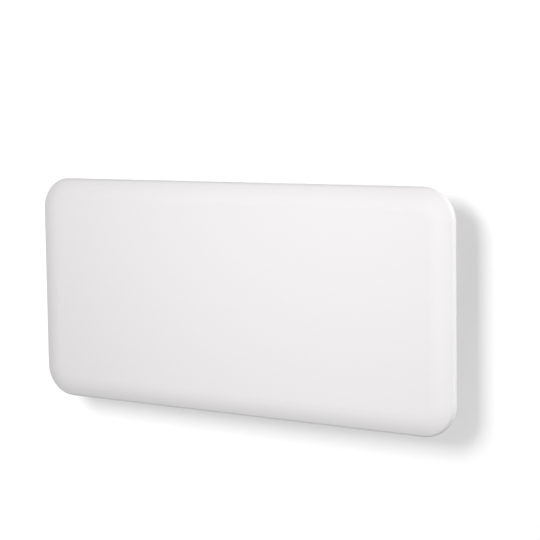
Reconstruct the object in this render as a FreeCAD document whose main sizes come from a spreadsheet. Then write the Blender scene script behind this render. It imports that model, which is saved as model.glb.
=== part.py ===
"""Wall-hung panel heater, built piece by piece from one sheet of sizes.

The origin lies on the wall, at the centre of the wall bracket's four screw holes. X runs to the
right as seen from the front, Y runs into the wall and Z runs up, so the front faces -Y.
"""
import FreeCAD, Part
import math
import os
import re

import Sketcher

# Sizes in millimetres and degrees
SIZES = {
    "panel_width": 860, "panel_height": 420, "panel_corner": 58, "panel_gauge": 1.2, "panel_depth": 23,
    "bevel_width": 21, "bevel_angle": 32, "crown_radius": 65, "edge_radius": 9.5, "return_width": 14,
    "flat_lap": 4,
    "side_inset": 46, "edge_inset": 45, "stand_off": 24, "casing_depth": 60, "casing_gauge": 1,
    "casing_corner": 12, "casing_fold": 1.4, "bead_margin": 214, "bead_width": 16, "bead_rise": 3,
    "bead_pitch": 50, "side_bead_length": 90, "side_bead_margin": 30,
    "rail_gauge": 1.2, "rail_margin": 34, "rail_base": 20, "rail_leg": 15, "rail_screw_margin": 50,
    "screw_radius": 1.9, "screw_head_radius": 3.8, "screw_head_height": 2.4, "screw_length": 9,
    "vent_margin": 84, "vent_width": 32, "vent_setback": 8, "vent_corner": 4, "grille_flange": 3,
    "grille_lip": 1.2, "grille_height": 7, "grille_slot": 4.6, "grille_pitch": 8, "grille_end": 6,
    "grille_side": 3, "fit": 0.3, "slide_fit": 0.1,
    "fin_margin": 104, "fin_reach": 30, "fin_angle": 62, "fin_gauge": 1.6, "fin_hub": 7, "fin_root": 2,
    "rod_radius": 4, "rod_overhang": 26, "pin_radius": 1.6, "pin_length": 12, "collar_radius": 2.9,
    "collar_length": 4, "element_setback": 34, "element_drop": 60,
    "bush_radius": 7, "bush_flange": 10, "bush_flange_length": 4, "bush_length": 10, "holder_gap": 12,
    "holder_gauge": 1.2, "holder_height": 34, "holder_foot": 14, "holder_brow": 4, "holder_corner": 12,
    "shield_margin": 124, "shield_edge": 75, "shield_drop": 20, "shield_rise": 8, "shield_foot": 12,
    "shield_gauge": 0.8, "shield_bend": 2, "cutout_margin": 80, "cutout_edge": 40, "cutout_radius": 8,
    "cutout_height": 6, "cutout_foot": 26, "tab_width": 4, "tab_gauge": 0.8, "tab_length": 9,
    "tab_spacing": 9,
    "wire_radius": 1.3, "wire_bend": 8, "wire_margin": 26, "wire_loop": 24, "low_run": 52,
    "lead_rise": 20,
    "lead_spacing": 4.6, "lead_hole": 1.8,
    "housing_setback": 23, "housing_margin": 26, "housing_width": 34, "housing_height": 120,
    "housing_sunk": 24,
    "housing_proud": 24, "housing_wall": 2, "housing_corner": 4, "flange_gauge": 2, "flange_side": 5,
    "flange_end": 12, "flange_screw": 6, "fascia_gauge": 2, "lip_width": 2, "post_radius": 3,
    "pilot_radius": 1.1,
    "pilot_depth": 8, "small_head_radius": 2.2, "small_head_height": 1.4, "small_screw_length": 7,
    "board_gap": 10, "board_gauge": 1.6, "board_width": 28, "board_margin": 4, "board_low": 29,
    "board_inset": 4,
    "button_radius": 4, "button_gap": 16, "switch_gap": 18, "button_proud": 1.2, "button_travel": 1.2,
    "button_flange": 5, "button_flange_gauge": 1, "button_stem": 1.8, "tact_side": 6, "tact_height": 4,
    "plunger_height": 1, "plunger_radius": 1.7,
    "window_width": 14, "window_height": 16, "window_margin": 14, "window_lip": 1.5, "lip_gauge": 0.8,
    "display_height": 7,
    "relay_width": 16, "relay_height": 20, "relay_depth": 15, "relay_margin": 22,
    "radio_width": 16, "radio_height": 24, "radio_depth": 3, "radio_margin": 20,
    "switch_margin": 18, "switch_width": 13, "switch_height": 19.5, "switch_depth": 17,
    "bezel_rim": 1.2,
    "bezel_gauge": 1.6, "rocker_radius": 8.4, "rocker_gap": 0.35, "rocker_width": 10,
    "rocker_angle": 10,
    "trunnion_radius": 1.5, "trunnion_reach": 0.8, "rocker_rise": 3.2,
    "block_width": 24, "block_height": 18, "block_depth": 14, "block_margin": 17,
    "gland_x": 11.5, "gland_radius": 7, "gland_thread": 5.5, "cord_radius": 3.5, "gland_drop": 14,
    "gland_lip": 1.2, "nut_radius": 7.8, "nut_height": 4, "thread_spare": 1,
    "sensor_margin": 39, "sensor_radius": 3.5, "sensor_rim": 6, "sensor_cap": 3, "sensor_length": 14,
    "bracket_gauge": 1.5, "arm_spacing": 400, "arm_width": 36, "arm_margin": 45, "nose_reach": 17.5,
    "nose_drop": 34, "pivot_stand": 17, "pivot_margin": 15, "pivot_radius": 3, "hook_fit": 0.15,
    "hook_lip": 8,
    "bar_offset": 50, "bar_height": 30, "screw_margin": 40, "screw_hole": 3,
    "buffer_width": 24, "buffer_height": 20, "buffer_edge": 20, "buffer_gap": 0.3, "latch_gauge": 0.8,
    "latch_width": 20, "latch_barb": 5, "latch_rise": 3, "latch_heel": 3, "latch_slot_side": 3,
    "latch_slot_edge": 1.5,
    "rivet_radius": 1.6, "rivet_head": 3, "rivet_height": 1.4, "rivet_foot": 1,
    "hanger_gap": 44, "hanger_gauge": 1.2, "ear_radius": 6, "ear_root": 9.6, "hanger_base": 14,
    "rod_proud": 2,
    "edge_break": 0.6,
}

doc = FreeCAD.newDocument("panel_heater")
sheet = doc.addObject("Spreadsheet::Sheet", "Sizes")
for row, (alias, size) in enumerate(SIZES.items(), start=1):
    sheet.set(f"A{row}", alias)
    sheet.set(f"B{row}", str(size))
    sheet.setAlias(f"B{row}", alias)
doc.recompute()

FRONT, RIGHT, LEVEL = "XZ_Plane", "YZ_Plane", "XY_Plane"

# Places worked out from the sizes, as expressions
CASING_WIDTH = "(panel_width - 2 * side_inset)"
CASING_HEIGHT = "(panel_height - 2 * edge_inset)"
CASING_END = f"({CASING_WIDTH} / 2)"
CASING_TOP = f"({CASING_HEIGHT} / 2)"
CASING_FRONT = "(stand_off + casing_depth)"
CASING_INSIDE = "(stand_off + casing_gauge)"
PANEL_FRONT = f"({CASING_FRONT} + rail_gauge + panel_gauge)"
RAIL_LENGTH = f"({CASING_WIDTH} - 2 * rail_margin)"
RAIL_SCREW_PITCH = f"(({RAIL_LENGTH} - 2 * rail_screw_margin) / 3)"
RAIL_SCREW_LINE = f"({CASING_FRONT} + rail_gauge - rail_leg / 2)"
VENT_LENGTH = f"({CASING_WIDTH} - 2 * vent_margin)"
VENT_LINE = "(stand_off + vent_setback + vent_width / 2)"
BEAD_LENGTH = f"({CASING_WIDTH} - 2 * bead_margin)"
SIDE_BEAD_X = f"({CASING_END} - side_bead_margin - side_bead_length / 2)"
FIN_LENGTH = f"({CASING_WIDTH} - 2 * fin_margin)"
ROD_END = f"({FIN_LENGTH} / 2 + rod_overhang)"
TERMINAL_X = f"({ROD_END} + pin_length)"
ELEMENT_LINE = "(stand_off + element_setback)"
SHIELD_LENGTH = f"({CASING_WIDTH} - 2 * shield_margin)"
SHIELD_HEIGHT = f"({CASING_HEIGHT} - 2 * shield_edge)"
CUTOUT_X = f"({SHIELD_LENGTH} / 2 - cutout_margin)"
CUTOUT_Z = f"({SHIELD_HEIGHT} / 2 - shield_drop - cutout_edge)"
SENSOR_X = f"({CASING_END} - sensor_margin)"
HOUSING_LINE = "(stand_off + housing_setback)"
HOUSING_TOP = f"({CASING_TOP} - housing_margin)"
HOUSING_LOW = f"({HOUSING_TOP} - housing_height)"
HOUSING_Z = f"({HOUSING_TOP} - housing_height / 2)"
HOUSING_FLOOR = f"({CASING_END} - housing_sunk)"
FASCIA_OUT = f"({CASING_END} + housing_proud)"
FASCIA_IN = f"({FASCIA_OUT} - fascia_gauge)"
WINDOW_Z = f"({HOUSING_TOP} - window_margin)"
SWITCH_Z = f"({HOUSING_LOW} + switch_margin)"
BUTTON_TOP = f"({WINDOW_Z} - button_gap)"
BUTTON_PITCH = f"(({BUTTON_TOP} - {SWITCH_Z} - switch_gap) / 3)"
BOARD_FRONT = f"({FASCIA_IN} - board_gap)"
BOARD_BACK = f"({BOARD_FRONT} - board_gauge)"
BOARD_HEIGHT = "(housing_height - board_margin - board_low)"
BOARD_Z = f"({HOUSING_LOW} + board_low + {BOARD_HEIGHT} / 2)"
LEAD_Z = f"({HOUSING_LOW} + block_margin + block_height / 2 + lead_rise)"
ARM_TOP = f"({CASING_TOP} - arm_margin)"
PIVOT_DROP = f"({CASING_TOP} - pivot_margin)"
SCREW_SPACING = f"(2 * ({ARM_TOP} - screw_margin))"


def sized(text):
    """Return an expression with the sheet's name put before every size it uses."""
    return re.sub(r"[a-z_]+", lambda hit: "Sizes." + hit[0] if hit[0] in SIZES else hit[0], str(text))


def value(text):
    """Return the number an expression works out to."""
    return float(sheet.evalExpression(sized(text)))


def bind(thing, name, text):
    """Tie one property of an object to an expression of sizes."""
    thing.setExpression(name, sized(text))


def new_body(label, x="0", y="0", z="0", turn=None):
    """Start one sub-part, placed by expressions and turned by a rotation if one is given."""
    body = doc.addObject("PartDesign::Body", label)
    body.Label = label
    if turn:
        body.Placement = FreeCAD.Placement(FreeCAD.Vector(), turn)
    for axis, text in zip("xyz", (x, y, z)):
        bind(body, f"Placement.Base.{axis}", text)
    return body


def origin_feature(body, role):
    """Return the plane or axis of a body's own origin."""
    return next(item for item in body.Origin.OriginFeatures if item.Role == role)


def new_sketch(body, role, offset="0"):
    """Attach a sketch to one of the body's planes, moved along the plane's normal."""
    sketch = body.newObject("Sketcher::SketchObject", body.Label + "_sketch")
    sketch.AttachmentSupport = [(origin_feature(body, role), "")]
    sketch.MapMode = "FlatFace"
    bind(sketch, "AttachmentOffset.Base.z", offset)
    return sketch


def pin(sketch, item, point, x, y):
    """Hold one point of the sketch at a place given by two expressions."""
    for kind, text in (("DistanceX", x), ("DistanceY", y)):
        index = sketch.addConstraint(Sketcher.Constraint(kind, -1, 1, item, point, value(text)))
        bind(sketch, f"Constraints[{index}]", text)


def limit_radius(sketch, item, radius):
    """Give an arc or circle its radius."""
    index = sketch.addConstraint(Sketcher.Constraint("Radius", item, value(radius)))
    bind(sketch, f"Constraints[{index}]", radius)


def circle(sketch, x, y, radius):
    """Draw a full circle."""
    centre = FreeCAD.Vector(value(x), value(y), 0)
    item = sketch.addGeometry(Part.Circle(centre, FreeCAD.Vector(0, 0, 1), value(radius)))
    pin(sketch, item, 3, x, y)
    limit_radius(sketch, item, radius)


def outline(sketch, corners):
    """Draw a closed outline through corners (x, y) or rounded corners (x, y, radius)."""
    count = len(corners)
    points = [FreeCAD.Vector(value(corner[0]), value(corner[1]), 0) for corner in corners]
    starts, ends, arcs = list(points), list(points), {}
    for index, corner in enumerate(corners):
        if len(corner) < 3:
            continue
        here = points[index]
        back = (points[index - 1] - here).normalize()
        ahead = (points[(index + 1) % count] - here).normalize()
        half = back.getAngle(ahead) / 2
        radius = value(corner[2])
        reach = radius / math.tan(half)
        ends[index] = here + back * reach
        starts[index] = here + ahead * reach
        centre = here + (back + ahead).normalize() * (radius / math.sin(half))
        middle = centre + (here - centre).normalize() * radius
        arcs[index] = Part.Arc(ends[index], middle, starts[index])
    lines = []
    for index in range(count):
        following = (index + 1) % count
        lines.append(sketch.addGeometry(Part.LineSegment(starts[index], ends[following])))
    for index, corner in enumerate(corners):
        before, after = lines[index - 1], lines[index]
        if index not in arcs:
            sketch.addConstraint(Sketcher.Constraint("Coincident", before, 2, after, 1))
            pin(sketch, after, 1, corner[0], corner[1])
            continue
        arc = sketch.addGeometry(arcs[index])
        near = (sketch.getPoint(arc, 1) - ends[index]).Length < 1e-6
        first, second = (1, 2) if near else (2, 1)
        sketch.addConstraint(Sketcher.Constraint("Tangent", before, 2, arc, first))
        sketch.addConstraint(Sketcher.Constraint("Tangent", after, 1, arc, second))
        limit_radius(sketch, arc, corner[2])
        mark = sketch.addGeometry(Part.Point(points[index]), True)
        sketch.addConstraint(Sketcher.Constraint("PointOnObject", mark, 1, before))
        sketch.addConstraint(Sketcher.Constraint("PointOnObject", mark, 1, after))
        pin(sketch, mark, 1, corner[0], corner[1])


def rectangle(sketch, x, y, width, height, radius=None):
    """Draw a rectangle about a centre, with round corners if a radius is given."""
    signs = ((-1, -1), (1, -1), (1, 1), (-1, 1))
    corners = [(f"{x} + {a} * ({width}) / 2", f"{y} + {b} * ({height}) / 2") for a, b in signs]
    outline(sketch, [corner + (radius,) for corner in corners] if radius else corners)


def extrude(body, kind, sketch, length, side="One side", backwards=False):
    """Pad or pocket a sketch by a length."""
    feature = body.newObject("PartDesign::" + kind, f"{body.Label}_{kind.lower()}")
    feature.Profile = sketch
    feature.SideType = side
    feature.Reversed = backwards
    bind(feature, "Length", length)
    sketch.Visibility = False
    return feature


def pad(body, sketch, length, **options):
    """Add a length of material to a sketch."""
    return extrude(body, "Pad", sketch, length, **options)


def pocket(body, sketch, length, **options):
    """Cut a length of material away under a sketch."""
    return extrude(body, "Pocket", sketch, length, **options)


def turned(body, role, axis, *outlines):
    """Turn closed outlines about one of their sketch's own axes."""
    sketch = new_sketch(body, role)
    for corners in outlines:
        outline(sketch, corners)
    feature = body.newObject("PartDesign::Revolution", body.Label + "_turned")
    feature.Profile = sketch
    feature.ReferenceAxis = (sketch, [axis])
    feature.Angle = 360
    return feature


def rod_profile(end, radius):
    """Return the outline of a plain rod about the middle of its length, its end edges broken."""
    return [
        (f"-{end}", "0"),
        (f"-{end}", f"{radius} - edge_break"),
        (f"-{end} + edge_break", radius),
        (f"{end} - edge_break", radius),
        (end, f"{radius} - edge_break"),
        (end, "0"),
    ]


def mirrored(body, features, role):
    """Repeat features on the other side of one of the body's planes."""
    copy = body.newObject("PartDesign::Mirrored", body.Label + "_mirrored")
    copy.Originals = features
    copy.MirrorPlane = (origin_feature(body, role), [""])
    body.Tip = copy
    return copy


def repeated(body, features, role, pitch, count):
    """Repeat features in a straight row along one of the body's axes."""
    row = body.newObject("PartDesign::LinearPattern", body.Label + "_row")
    row.Originals = features
    row.Direction = (origin_feature(body, role), [""])
    bind(row, "Length", f"({pitch}) * (({count}) - 1)")
    bind(row, "Occurrences", count)
    body.Tip = row
    return row


# Front shell and the rails inside it
def make_front_panel():
    """The pressed shell: a flat face and a rolled edge swept round its rounded outline."""
    body = new_body("front_panel")
    spine = new_sketch(body, FRONT, PANEL_FRONT)
    rectangle(spine, "0", "0", "panel_width", "panel_height", "panel_corner")
    section = new_sketch(body, RIGHT)
    edge, rim = "panel_height / 2", f"-({PANEL_FRONT} - panel_depth)"
    flat = f"-{PANEL_FRONT}"
    tangent = "(bevel_width + crown_radius * tan(bevel_angle / 2) + flat_lap)"
    outline(section, [
        (flat, f"{edge} - {tangent}"),
        (flat, f"{edge} - bevel_width", "crown_radius"),
        (f"{flat} + bevel_width * tan(bevel_angle)", edge, "edge_radius"),
        (rim, edge, "2 * panel_gauge"),
        (rim, f"{edge} - return_width"),
        (f"{rim} - panel_gauge", f"{edge} - return_width"),
        (f"{rim} - panel_gauge", f"{edge} - panel_gauge", "panel_gauge"),
        (f"{flat} + panel_gauge / cos(bevel_angle) + (bevel_width - panel_gauge) * tan(bevel_angle)",
         f"{edge} - panel_gauge", "edge_radius - panel_gauge"),
        (f"{flat} + panel_gauge", f"{edge} - bevel_width - panel_gauge * tan(bevel_angle / 2)",
         "crown_radius - panel_gauge"),
        (f"{flat} + panel_gauge", f"{edge} - {tangent}"),
    ])
    doc.recompute()
    roll = body.newObject("PartDesign::AdditivePipe", "front_panel_roll")
    roll.Profile = section
    roll.Spine = (spine, [f"Edge{number}" for number in range(1, 9)])
    roll.Mode = "Standard"
    face = new_sketch(body, FRONT, PANEL_FRONT)
    rectangle(face, "0", "0", f"panel_width - 2 * {tangent}", f"panel_height - 2 * {tangent}",
              f"panel_corner - {tangent}")
    pad(body, face, "panel_gauge", backwards=True)


def make_front_rails():
    """Two angle rails: one leg on the shell's inner face, one on the casing's wall."""
    body = new_body("front_rails")
    section = new_sketch(body, RIGHT)
    top, face = CASING_TOP, f"-({CASING_FRONT} + rail_gauge)"
    outline(section, [
        (face, f"{top} + rail_gauge - rail_base"),
        (face, f"{top} + rail_gauge", "rail_gauge"),
        (f"{face} + rail_leg", f"{top} + rail_gauge"),
        (f"{face} + rail_leg", top),
        (f"{face} + rail_gauge", top),
        (f"{face} + rail_gauge", f"{top} + rail_gauge - rail_base"),
    ])
    rail = pad(body, section, RAIL_LENGTH, side="Symmetric")
    pair = mirrored(body, [rail], LEVEL)
    holes = new_sketch(body, LEVEL)
    for step in (-1.5, -0.5, 0.5, 1.5):
        circle(holes, f"{step} * {RAIL_SCREW_PITCH}", f"-{RAIL_SCREW_LINE}", "screw_radius + slide_fit")
    body.Tip = pair
    pocket(body, holes, f"{CASING_HEIGHT} * 2", side="Symmetric")


def make_casing_screws():
    """Eight pan-head screws through the rails and the casing's top and bottom walls."""
    body = new_body("casing_screws", x=f"-1.5 * {RAIL_SCREW_PITCH}", y=f"-{RAIL_SCREW_LINE}")
    seat = f"({CASING_TOP} + rail_gauge)"
    profiles = []
    for side in (1, -1):
        profiles.append([
            ("0", f"{side} * ({seat} + screw_head_height)"),
            ("screw_head_radius * 0.6", f"{side} * ({seat} + screw_head_height)"),
            ("screw_head_radius", f"{side} * ({seat} + screw_head_height * 0.4)"),
            ("screw_head_radius", f"{side} * {seat}"),
            ("screw_radius", f"{side} * {seat}"),
            ("screw_radius", f"{side} * ({seat} - screw_length + screw_radius)"),
            ("0", f"{side} * ({seat} - screw_length)"),
        ])
    screws = turned(body, FRONT, "V_Axis", *profiles)
    repeated(body, [screws], "X_Axis", RAIL_SCREW_PITCH, "4")


# Casing and its grilles
def make_rear_casing():
    """A folded box open to the front, with beads, vents, latch slots and the control opening."""
    body = new_body("rear_casing")
    shell = new_sketch(body, FRONT, "stand_off")
    rectangle(shell, "0", "0", CASING_WIDTH, CASING_HEIGHT, "casing_corner")
    box = pad(body, shell, "casing_depth")
    doc.recompute()
    back = [number for number, edge in enumerate(box.Shape.Edges, start=1)
            if abs(edge.BoundBox.YMin + value("stand_off")) + edge.BoundBox.YLength < 1e-6]
    fold = body.newObject("PartDesign::Fillet", "rear_casing_fold")
    fold.Base = (box, [f"Edge{number}" for number in back])
    bind(fold, "Radius", "casing_fold")
    rows = [("0", BEAD_LENGTH), (SIDE_BEAD_X, "side_bead_length"), (f"-{SIDE_BEAD_X}", "side_bead_length")]
    for x, length in rows:
        beads = new_sketch(body, FRONT, "stand_off")
        for step in (-1, 0, 1):
            rectangle(beads, x, f"{step} * bead_pitch", length, "bead_width", "bead_width * 0.48")
        pad(body, beads, "bead_rise", backwards=True)
    inside = new_sketch(body, FRONT, CASING_INSIDE)
    rectangle(inside, "0", "0", f"{CASING_WIDTH} - 2 * casing_gauge", f"{CASING_HEIGHT} - 2 * casing_gauge",
              "casing_corner - casing_gauge")
    pocket(body, inside, "casing_depth", backwards=True)
    for x, length in rows:
        hollows = new_sketch(body, FRONT, "stand_off - bead_rise + casing_gauge")
        for step in (-1, 0, 1):
            rectangle(hollows, x, f"{step} * bead_pitch", f"{length} - 2 * casing_gauge",
                      "bead_width - 2 * casing_gauge", "(bead_width - 2 * casing_gauge) * 0.48")
        pocket(body, hollows, "bead_rise + casing_gauge", backwards=True)
    slots = new_sketch(body, FRONT, "stand_off")
    for side in (-1, 1):
        rectangle(slots, f"{side} * arm_spacing / 2", ARM_TOP, "latch_width + 2 * latch_slot_side",
                  "2 * (latch_gauge + latch_slot_edge)")
    pocket(body, slots, "4 * casing_gauge", side="Symmetric")
    vents = new_sketch(body, LEVEL)
    rectangle(vents, "0", f"-{VENT_LINE}", VENT_LENGTH, "vent_width", "vent_corner")
    for step in (-1.5, -0.5, 0.5, 1.5):
        circle(vents, f"{step} * {RAIL_SCREW_PITCH}", f"-{RAIL_SCREW_LINE}", "screw_radius + slide_fit")
    pocket(body, vents, f"{CASING_HEIGHT} * 2", side="Symmetric")
    opening = new_sketch(body, RIGHT, CASING_END)
    rectangle(opening, f"-{HOUSING_LINE}", HOUSING_Z, "housing_width + 2 * fit",
              "housing_height + 2 * fit", "housing_corner")
    for side in (-1, 1):
        circle(opening, f"-{HOUSING_LINE}", f"{HOUSING_Z} + {side} * (housing_height / 2 + flange_screw)",
               "pilot_radius + slide_fit")
    pocket(body, opening, "4 * casing_gauge", side="Symmetric")
    probe = new_sketch(body, LEVEL, f"-{CASING_TOP}")
    circle(probe, SENSOR_X, f"-{HOUSING_LINE}", "sensor_radius + slide_fit")
    pocket(body, probe, "4 * casing_gauge", side="Symmetric")


def make_grille(label, top):
    """A slotted grille set into a vent, its lip on the outside of the casing's wall."""
    turn = None if top else FreeCAD.Rotation(FreeCAD.Vector(1, 0, 0), 180)
    side = "1" if top else "-1"
    body = new_body(label, y=f"-{VENT_LINE}", z=f"{side} * {CASING_TOP}", turn=turn)
    lip = new_sketch(body, LEVEL)
    rectangle(lip, "0", "0", f"{VENT_LENGTH} + 2 * grille_flange", "vent_width + 2 * grille_flange",
              "vent_corner")
    pad(body, lip, "grille_lip")
    core = new_sketch(body, LEVEL)
    rectangle(core, "0", "0", f"{VENT_LENGTH} - 2 * fit", "vent_width - 2 * fit", "vent_corner")
    pad(body, core, "grille_height", backwards=True)
    slot = new_sketch(body, LEVEL)
    row = f"floor(({VENT_LENGTH} - 2 * grille_end) / grille_pitch)"
    rectangle(slot, f"-({row} - 1) * grille_pitch / 2", "0", "grille_slot", "vent_width - 2 * grille_side")
    cut = pocket(body, slot, "4 * grille_height", side="Symmetric")
    repeated(body, [cut], "X_Axis", "grille_pitch", row)


# Heating element
def make_element_fins():
    """The extruded X-section that sheds the heat, on a hub round the rod."""
    body = new_body("element_fins", y=f"-{ELEMENT_LINE}", z="-element_drop")
    section = new_sketch(body, RIGHT)
    circle(section, "0", "0", "fin_hub")
    pad(body, section, FIN_LENGTH, side="Symmetric")
    blades = new_sketch(body, RIGHT)
    root = "fin_hub - fin_root"
    blade = ((root, 0.5), ("fin_reach", 0.5), ("fin_reach", -0.5), (root, -0.5))
    for a, b in ((1, 1), (-1, 1), (-1, -1), (1, -1)):
        corners = []
        for along, across in blade:
            corners.append((f"{a} * (({along}) * cos(fin_angle) - {across} * fin_gauge * sin(fin_angle))",
                            f"{b} * (({along}) * sin(fin_angle) + {across} * fin_gauge * cos(fin_angle))"))
        outline(blades, corners)
    pad(body, blades, FIN_LENGTH, side="Symmetric")
    bore = new_sketch(body, RIGHT)
    circle(bore, "0", "0", "rod_radius + slide_fit / 2")
    pocket(body, bore, f"{FIN_LENGTH} * 2", side="Symmetric")


def make_element_rod():
    """The sheathed rod down the middle of the element."""
    body = new_body("element_rod", y=f"-{ELEMENT_LINE}", z="-element_drop")
    turned(body, FRONT, "H_Axis", rod_profile(ROD_END, "rod_radius"))


def make_element_terminals():
    """The two pins that stand out of the rod's ends."""
    body = new_body("element_terminals", y=f"-{ELEMENT_LINE}", z="-element_drop")
    terminal = turned(body, FRONT, "H_Axis", [
        (ROD_END, "0"),
        (ROD_END, "collar_radius"),
        (f"{ROD_END} + collar_length", "collar_radius"),
        (f"{ROD_END} + collar_length", "pin_radius"),
        (TERMINAL_X, "pin_radius"),
        (TERMINAL_X, "0"),
    ])
    mirrored(body, [terminal], RIGHT)


def make_element_bushes():
    """The two flanged ceramic bushes that carry the rod."""
    body = new_body("element_bushes", y=f"-{ELEMENT_LINE}", z="-element_drop")
    seat = f"({FIN_LENGTH} / 2 + holder_gap)"
    bush = turned(body, FRONT, "H_Axis", [
        (f"{seat} - bush_flange_length", "rod_radius + slide_fit / 2"),
        (f"{seat} - bush_flange_length", "bush_flange - edge_break"),
        (f"{seat} - bush_flange_length + edge_break", "bush_flange"),
        (seat, "bush_flange"),
        (seat, "bush_radius"),
        (f"{seat} - bush_flange_length + bush_length", "bush_radius"),
        (f"{seat} - bush_flange_length + bush_length", "rod_radius + slide_fit / 2"),
    ])
    mirrored(body, [bush], RIGHT)


def make_element_brackets():
    """The two sheet brackets that stand on the casing's back and hold the bushes."""
    body = new_body("element_brackets", z="-element_drop")
    seat = f"{FIN_LENGTH} / 2 + holder_gap"
    plate = new_sketch(body, RIGHT, seat)
    outline(plate, [
        (f"-{CASING_INSIDE}", "-holder_height / 2"),
        (f"-{CASING_INSIDE}", "holder_height / 2"),
        (f"-({ELEMENT_LINE} + bush_flange + holder_brow)", "holder_height / 2", "holder_corner"),
        (f"-({ELEMENT_LINE} + bush_flange + holder_brow)", "-holder_height / 2", "holder_corner"),
    ])
    upright = pad(body, plate, "holder_gauge")
    foot = new_sketch(body, FRONT, CASING_INSIDE)
    rectangle(foot, f"{seat} + holder_foot / 2", "0", "holder_foot", "holder_height")
    base = pad(body, foot, "holder_gauge")
    bore = new_sketch(body, RIGHT, seat)
    circle(bore, f"-{ELEMENT_LINE}", "0", "bush_radius + slide_fit")
    hole = pocket(body, bore, "4 * holder_gauge", side="Symmetric")
    mirrored(body, [upright, base, hole], RIGHT)


def make_heat_shield():
    """The hat-section sheet between the element and the casing's back."""
    body = new_body("heat_shield", z="-shield_drop")
    section = new_sketch(body, RIGHT)
    floor, top = f"-{CASING_INSIDE}", f"-({CASING_INSIDE} + shield_rise)"
    half = f"{SHIELD_HEIGHT} / 2"
    outline(section, [
        (floor, f"-{half}"),
        (floor, f"-{half} + shield_foot"),
        (f"{top} + shield_gauge", f"-{half} + shield_foot"),
        (f"{top} + shield_gauge", f"{half} - shield_foot"),
        (floor, f"{half} - shield_foot"),
        (floor, half),
        (f"{floor} - shield_gauge", half),
        (f"{floor} - shield_gauge", f"{half} - shield_foot + shield_gauge"),
        (top, f"{half} - shield_foot + shield_gauge", "shield_bend"),
        (top, f"-{half} + shield_foot - shield_gauge", "shield_bend"),
        (f"{floor} - shield_gauge", f"-{half} + shield_foot - shield_gauge"),
        (f"{floor} - shield_gauge", f"-{half}"),
    ])
    pad(body, section, SHIELD_LENGTH, side="Symmetric")


def make_thermal_cutout():
    """The overheat disc on the shield, with its two tabs."""
    face = f"({CASING_INSIDE} + shield_rise)"
    body = new_body("thermal_cutout", x=CUTOUT_X, y=f"-{face}", z=CUTOUT_Z)
    base = new_sketch(body, FRONT)
    circle(base, "0", "0", "cutout_radius")
    pad(body, base, "cutout_height")
    foot = new_sketch(body, FRONT)
    rectangle(foot, "0", "0", "cutout_foot", "cutout_radius", "edge_break")
    pad(body, foot, "tab_gauge")
    tabs = new_sketch(body, FRONT, "cutout_height / 2")
    for side in (-1, 1):
        rectangle(tabs, f"{side} * tab_spacing / 2", "(cutout_radius + tab_length) / 2", "tab_width",
                  "cutout_radius + tab_length")
    pad(body, tabs, "tab_gauge")


def wire_path(points, bend):
    """Return a wire of straight runs joined by tangent arcs."""
    edges, start = [], points[0]
    for before, here, after in zip(points, points[1:], points[2:]):
        back, ahead = (before - here).normalize(), (after - here).normalize()
        half = back.getAngle(ahead) / 2
        reach = bend / math.tan(half)
        centre = here + (back + ahead).normalize() * (bend / math.sin(half))
        middle = centre + (here - centre).normalize() * bend
        edges.append(Part.makeLine(start, here + back * reach))
        edges.append(Part.Arc(here + back * reach, middle, here + ahead * reach).toShape())
        start = here + ahead * reach
    edges.append(Part.makeLine(start, points[-1]))
    return Part.Wire(edges)


def make_lead_wires():
    """Four insulated wires: to the cut-out, on to the element, to its far end, and to the sensor."""
    floor = f"{HOUSING_FLOOR} - wire_margin"
    block_top = f"{LEAD_Z} - lead_rise"
    block_x = f"{HOUSING_FLOOR} + housing_wall + block_depth / 2"
    near, far = f"{HOUSING_LINE} + lead_spacing", f"{HOUSING_LINE} - lead_spacing"
    tab_line = f"{CASING_INSIDE} + shield_rise + cutout_height / 2 + tab_gauge / 2"
    tab_end = f"{CUTOUT_Z} + cutout_radius + tab_length"
    right_tab, left_tab = f"{CUTOUT_X} + tab_spacing / 2", f"{CUTOUT_X} - tab_spacing / 2"
    drop_x = f"{right_tab} + wire_loop"
    low = f"low_run - {CASING_TOP}"
    runs = [
        [(block_x, near, block_top), (block_x, near, LEAD_Z), (drop_x, near, LEAD_Z),
         (drop_x, tab_line, f"{tab_end} + wire_loop"), (right_tab, tab_line, f"{tab_end} + wire_loop"),
         (right_tab, tab_line, tab_end)],
        [(left_tab, tab_line, tab_end), (left_tab, tab_line, f"{tab_end} + 2 * wire_loop"),
         (f"{TERMINAL_X} + 2 * wire_bend", tab_line, f"{tab_end} + 2 * wire_loop"),
         (f"{TERMINAL_X} + 2 * wire_bend", ELEMENT_LINE, "-element_drop"),
         (TERMINAL_X, ELEMENT_LINE, "-element_drop")],
        [(block_x, far, block_top), (block_x, far, LEAD_Z), (floor, far, LEAD_Z), (floor, far, low),
         (f"-{TERMINAL_X} - wire_loop", far, low),
         (f"-{TERMINAL_X} - wire_loop", ELEMENT_LINE, "-element_drop"),
         (f"-{TERMINAL_X}", ELEMENT_LINE, "-element_drop")],
        [(SENSOR_X, HOUSING_LINE, f"sensor_length - {CASING_TOP}"), (SENSOR_X, HOUSING_LINE, LEAD_Z),
         (f"{HOUSING_FLOOR} + housing_wall + wire_bend", HOUSING_LINE, LEAD_Z)],
    ]
    wires = []
    for run in runs:
        points = [FreeCAD.Vector(value(x), -value(depth), value(z)) for x, depth, z in run]
        path = wire_path(points, value("wire_bend"))
        start = Part.Wire(Part.makeCircle(value("wire_radius"), points[0], points[1] - points[0]))
        wires.append(path.makePipeShell([start], True, False))
    feature = doc.addObject("Part::Feature", "lead_wires")
    feature.Label = "lead_wires"
    feature.Shape = Part.makeCompound(wires)


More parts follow.
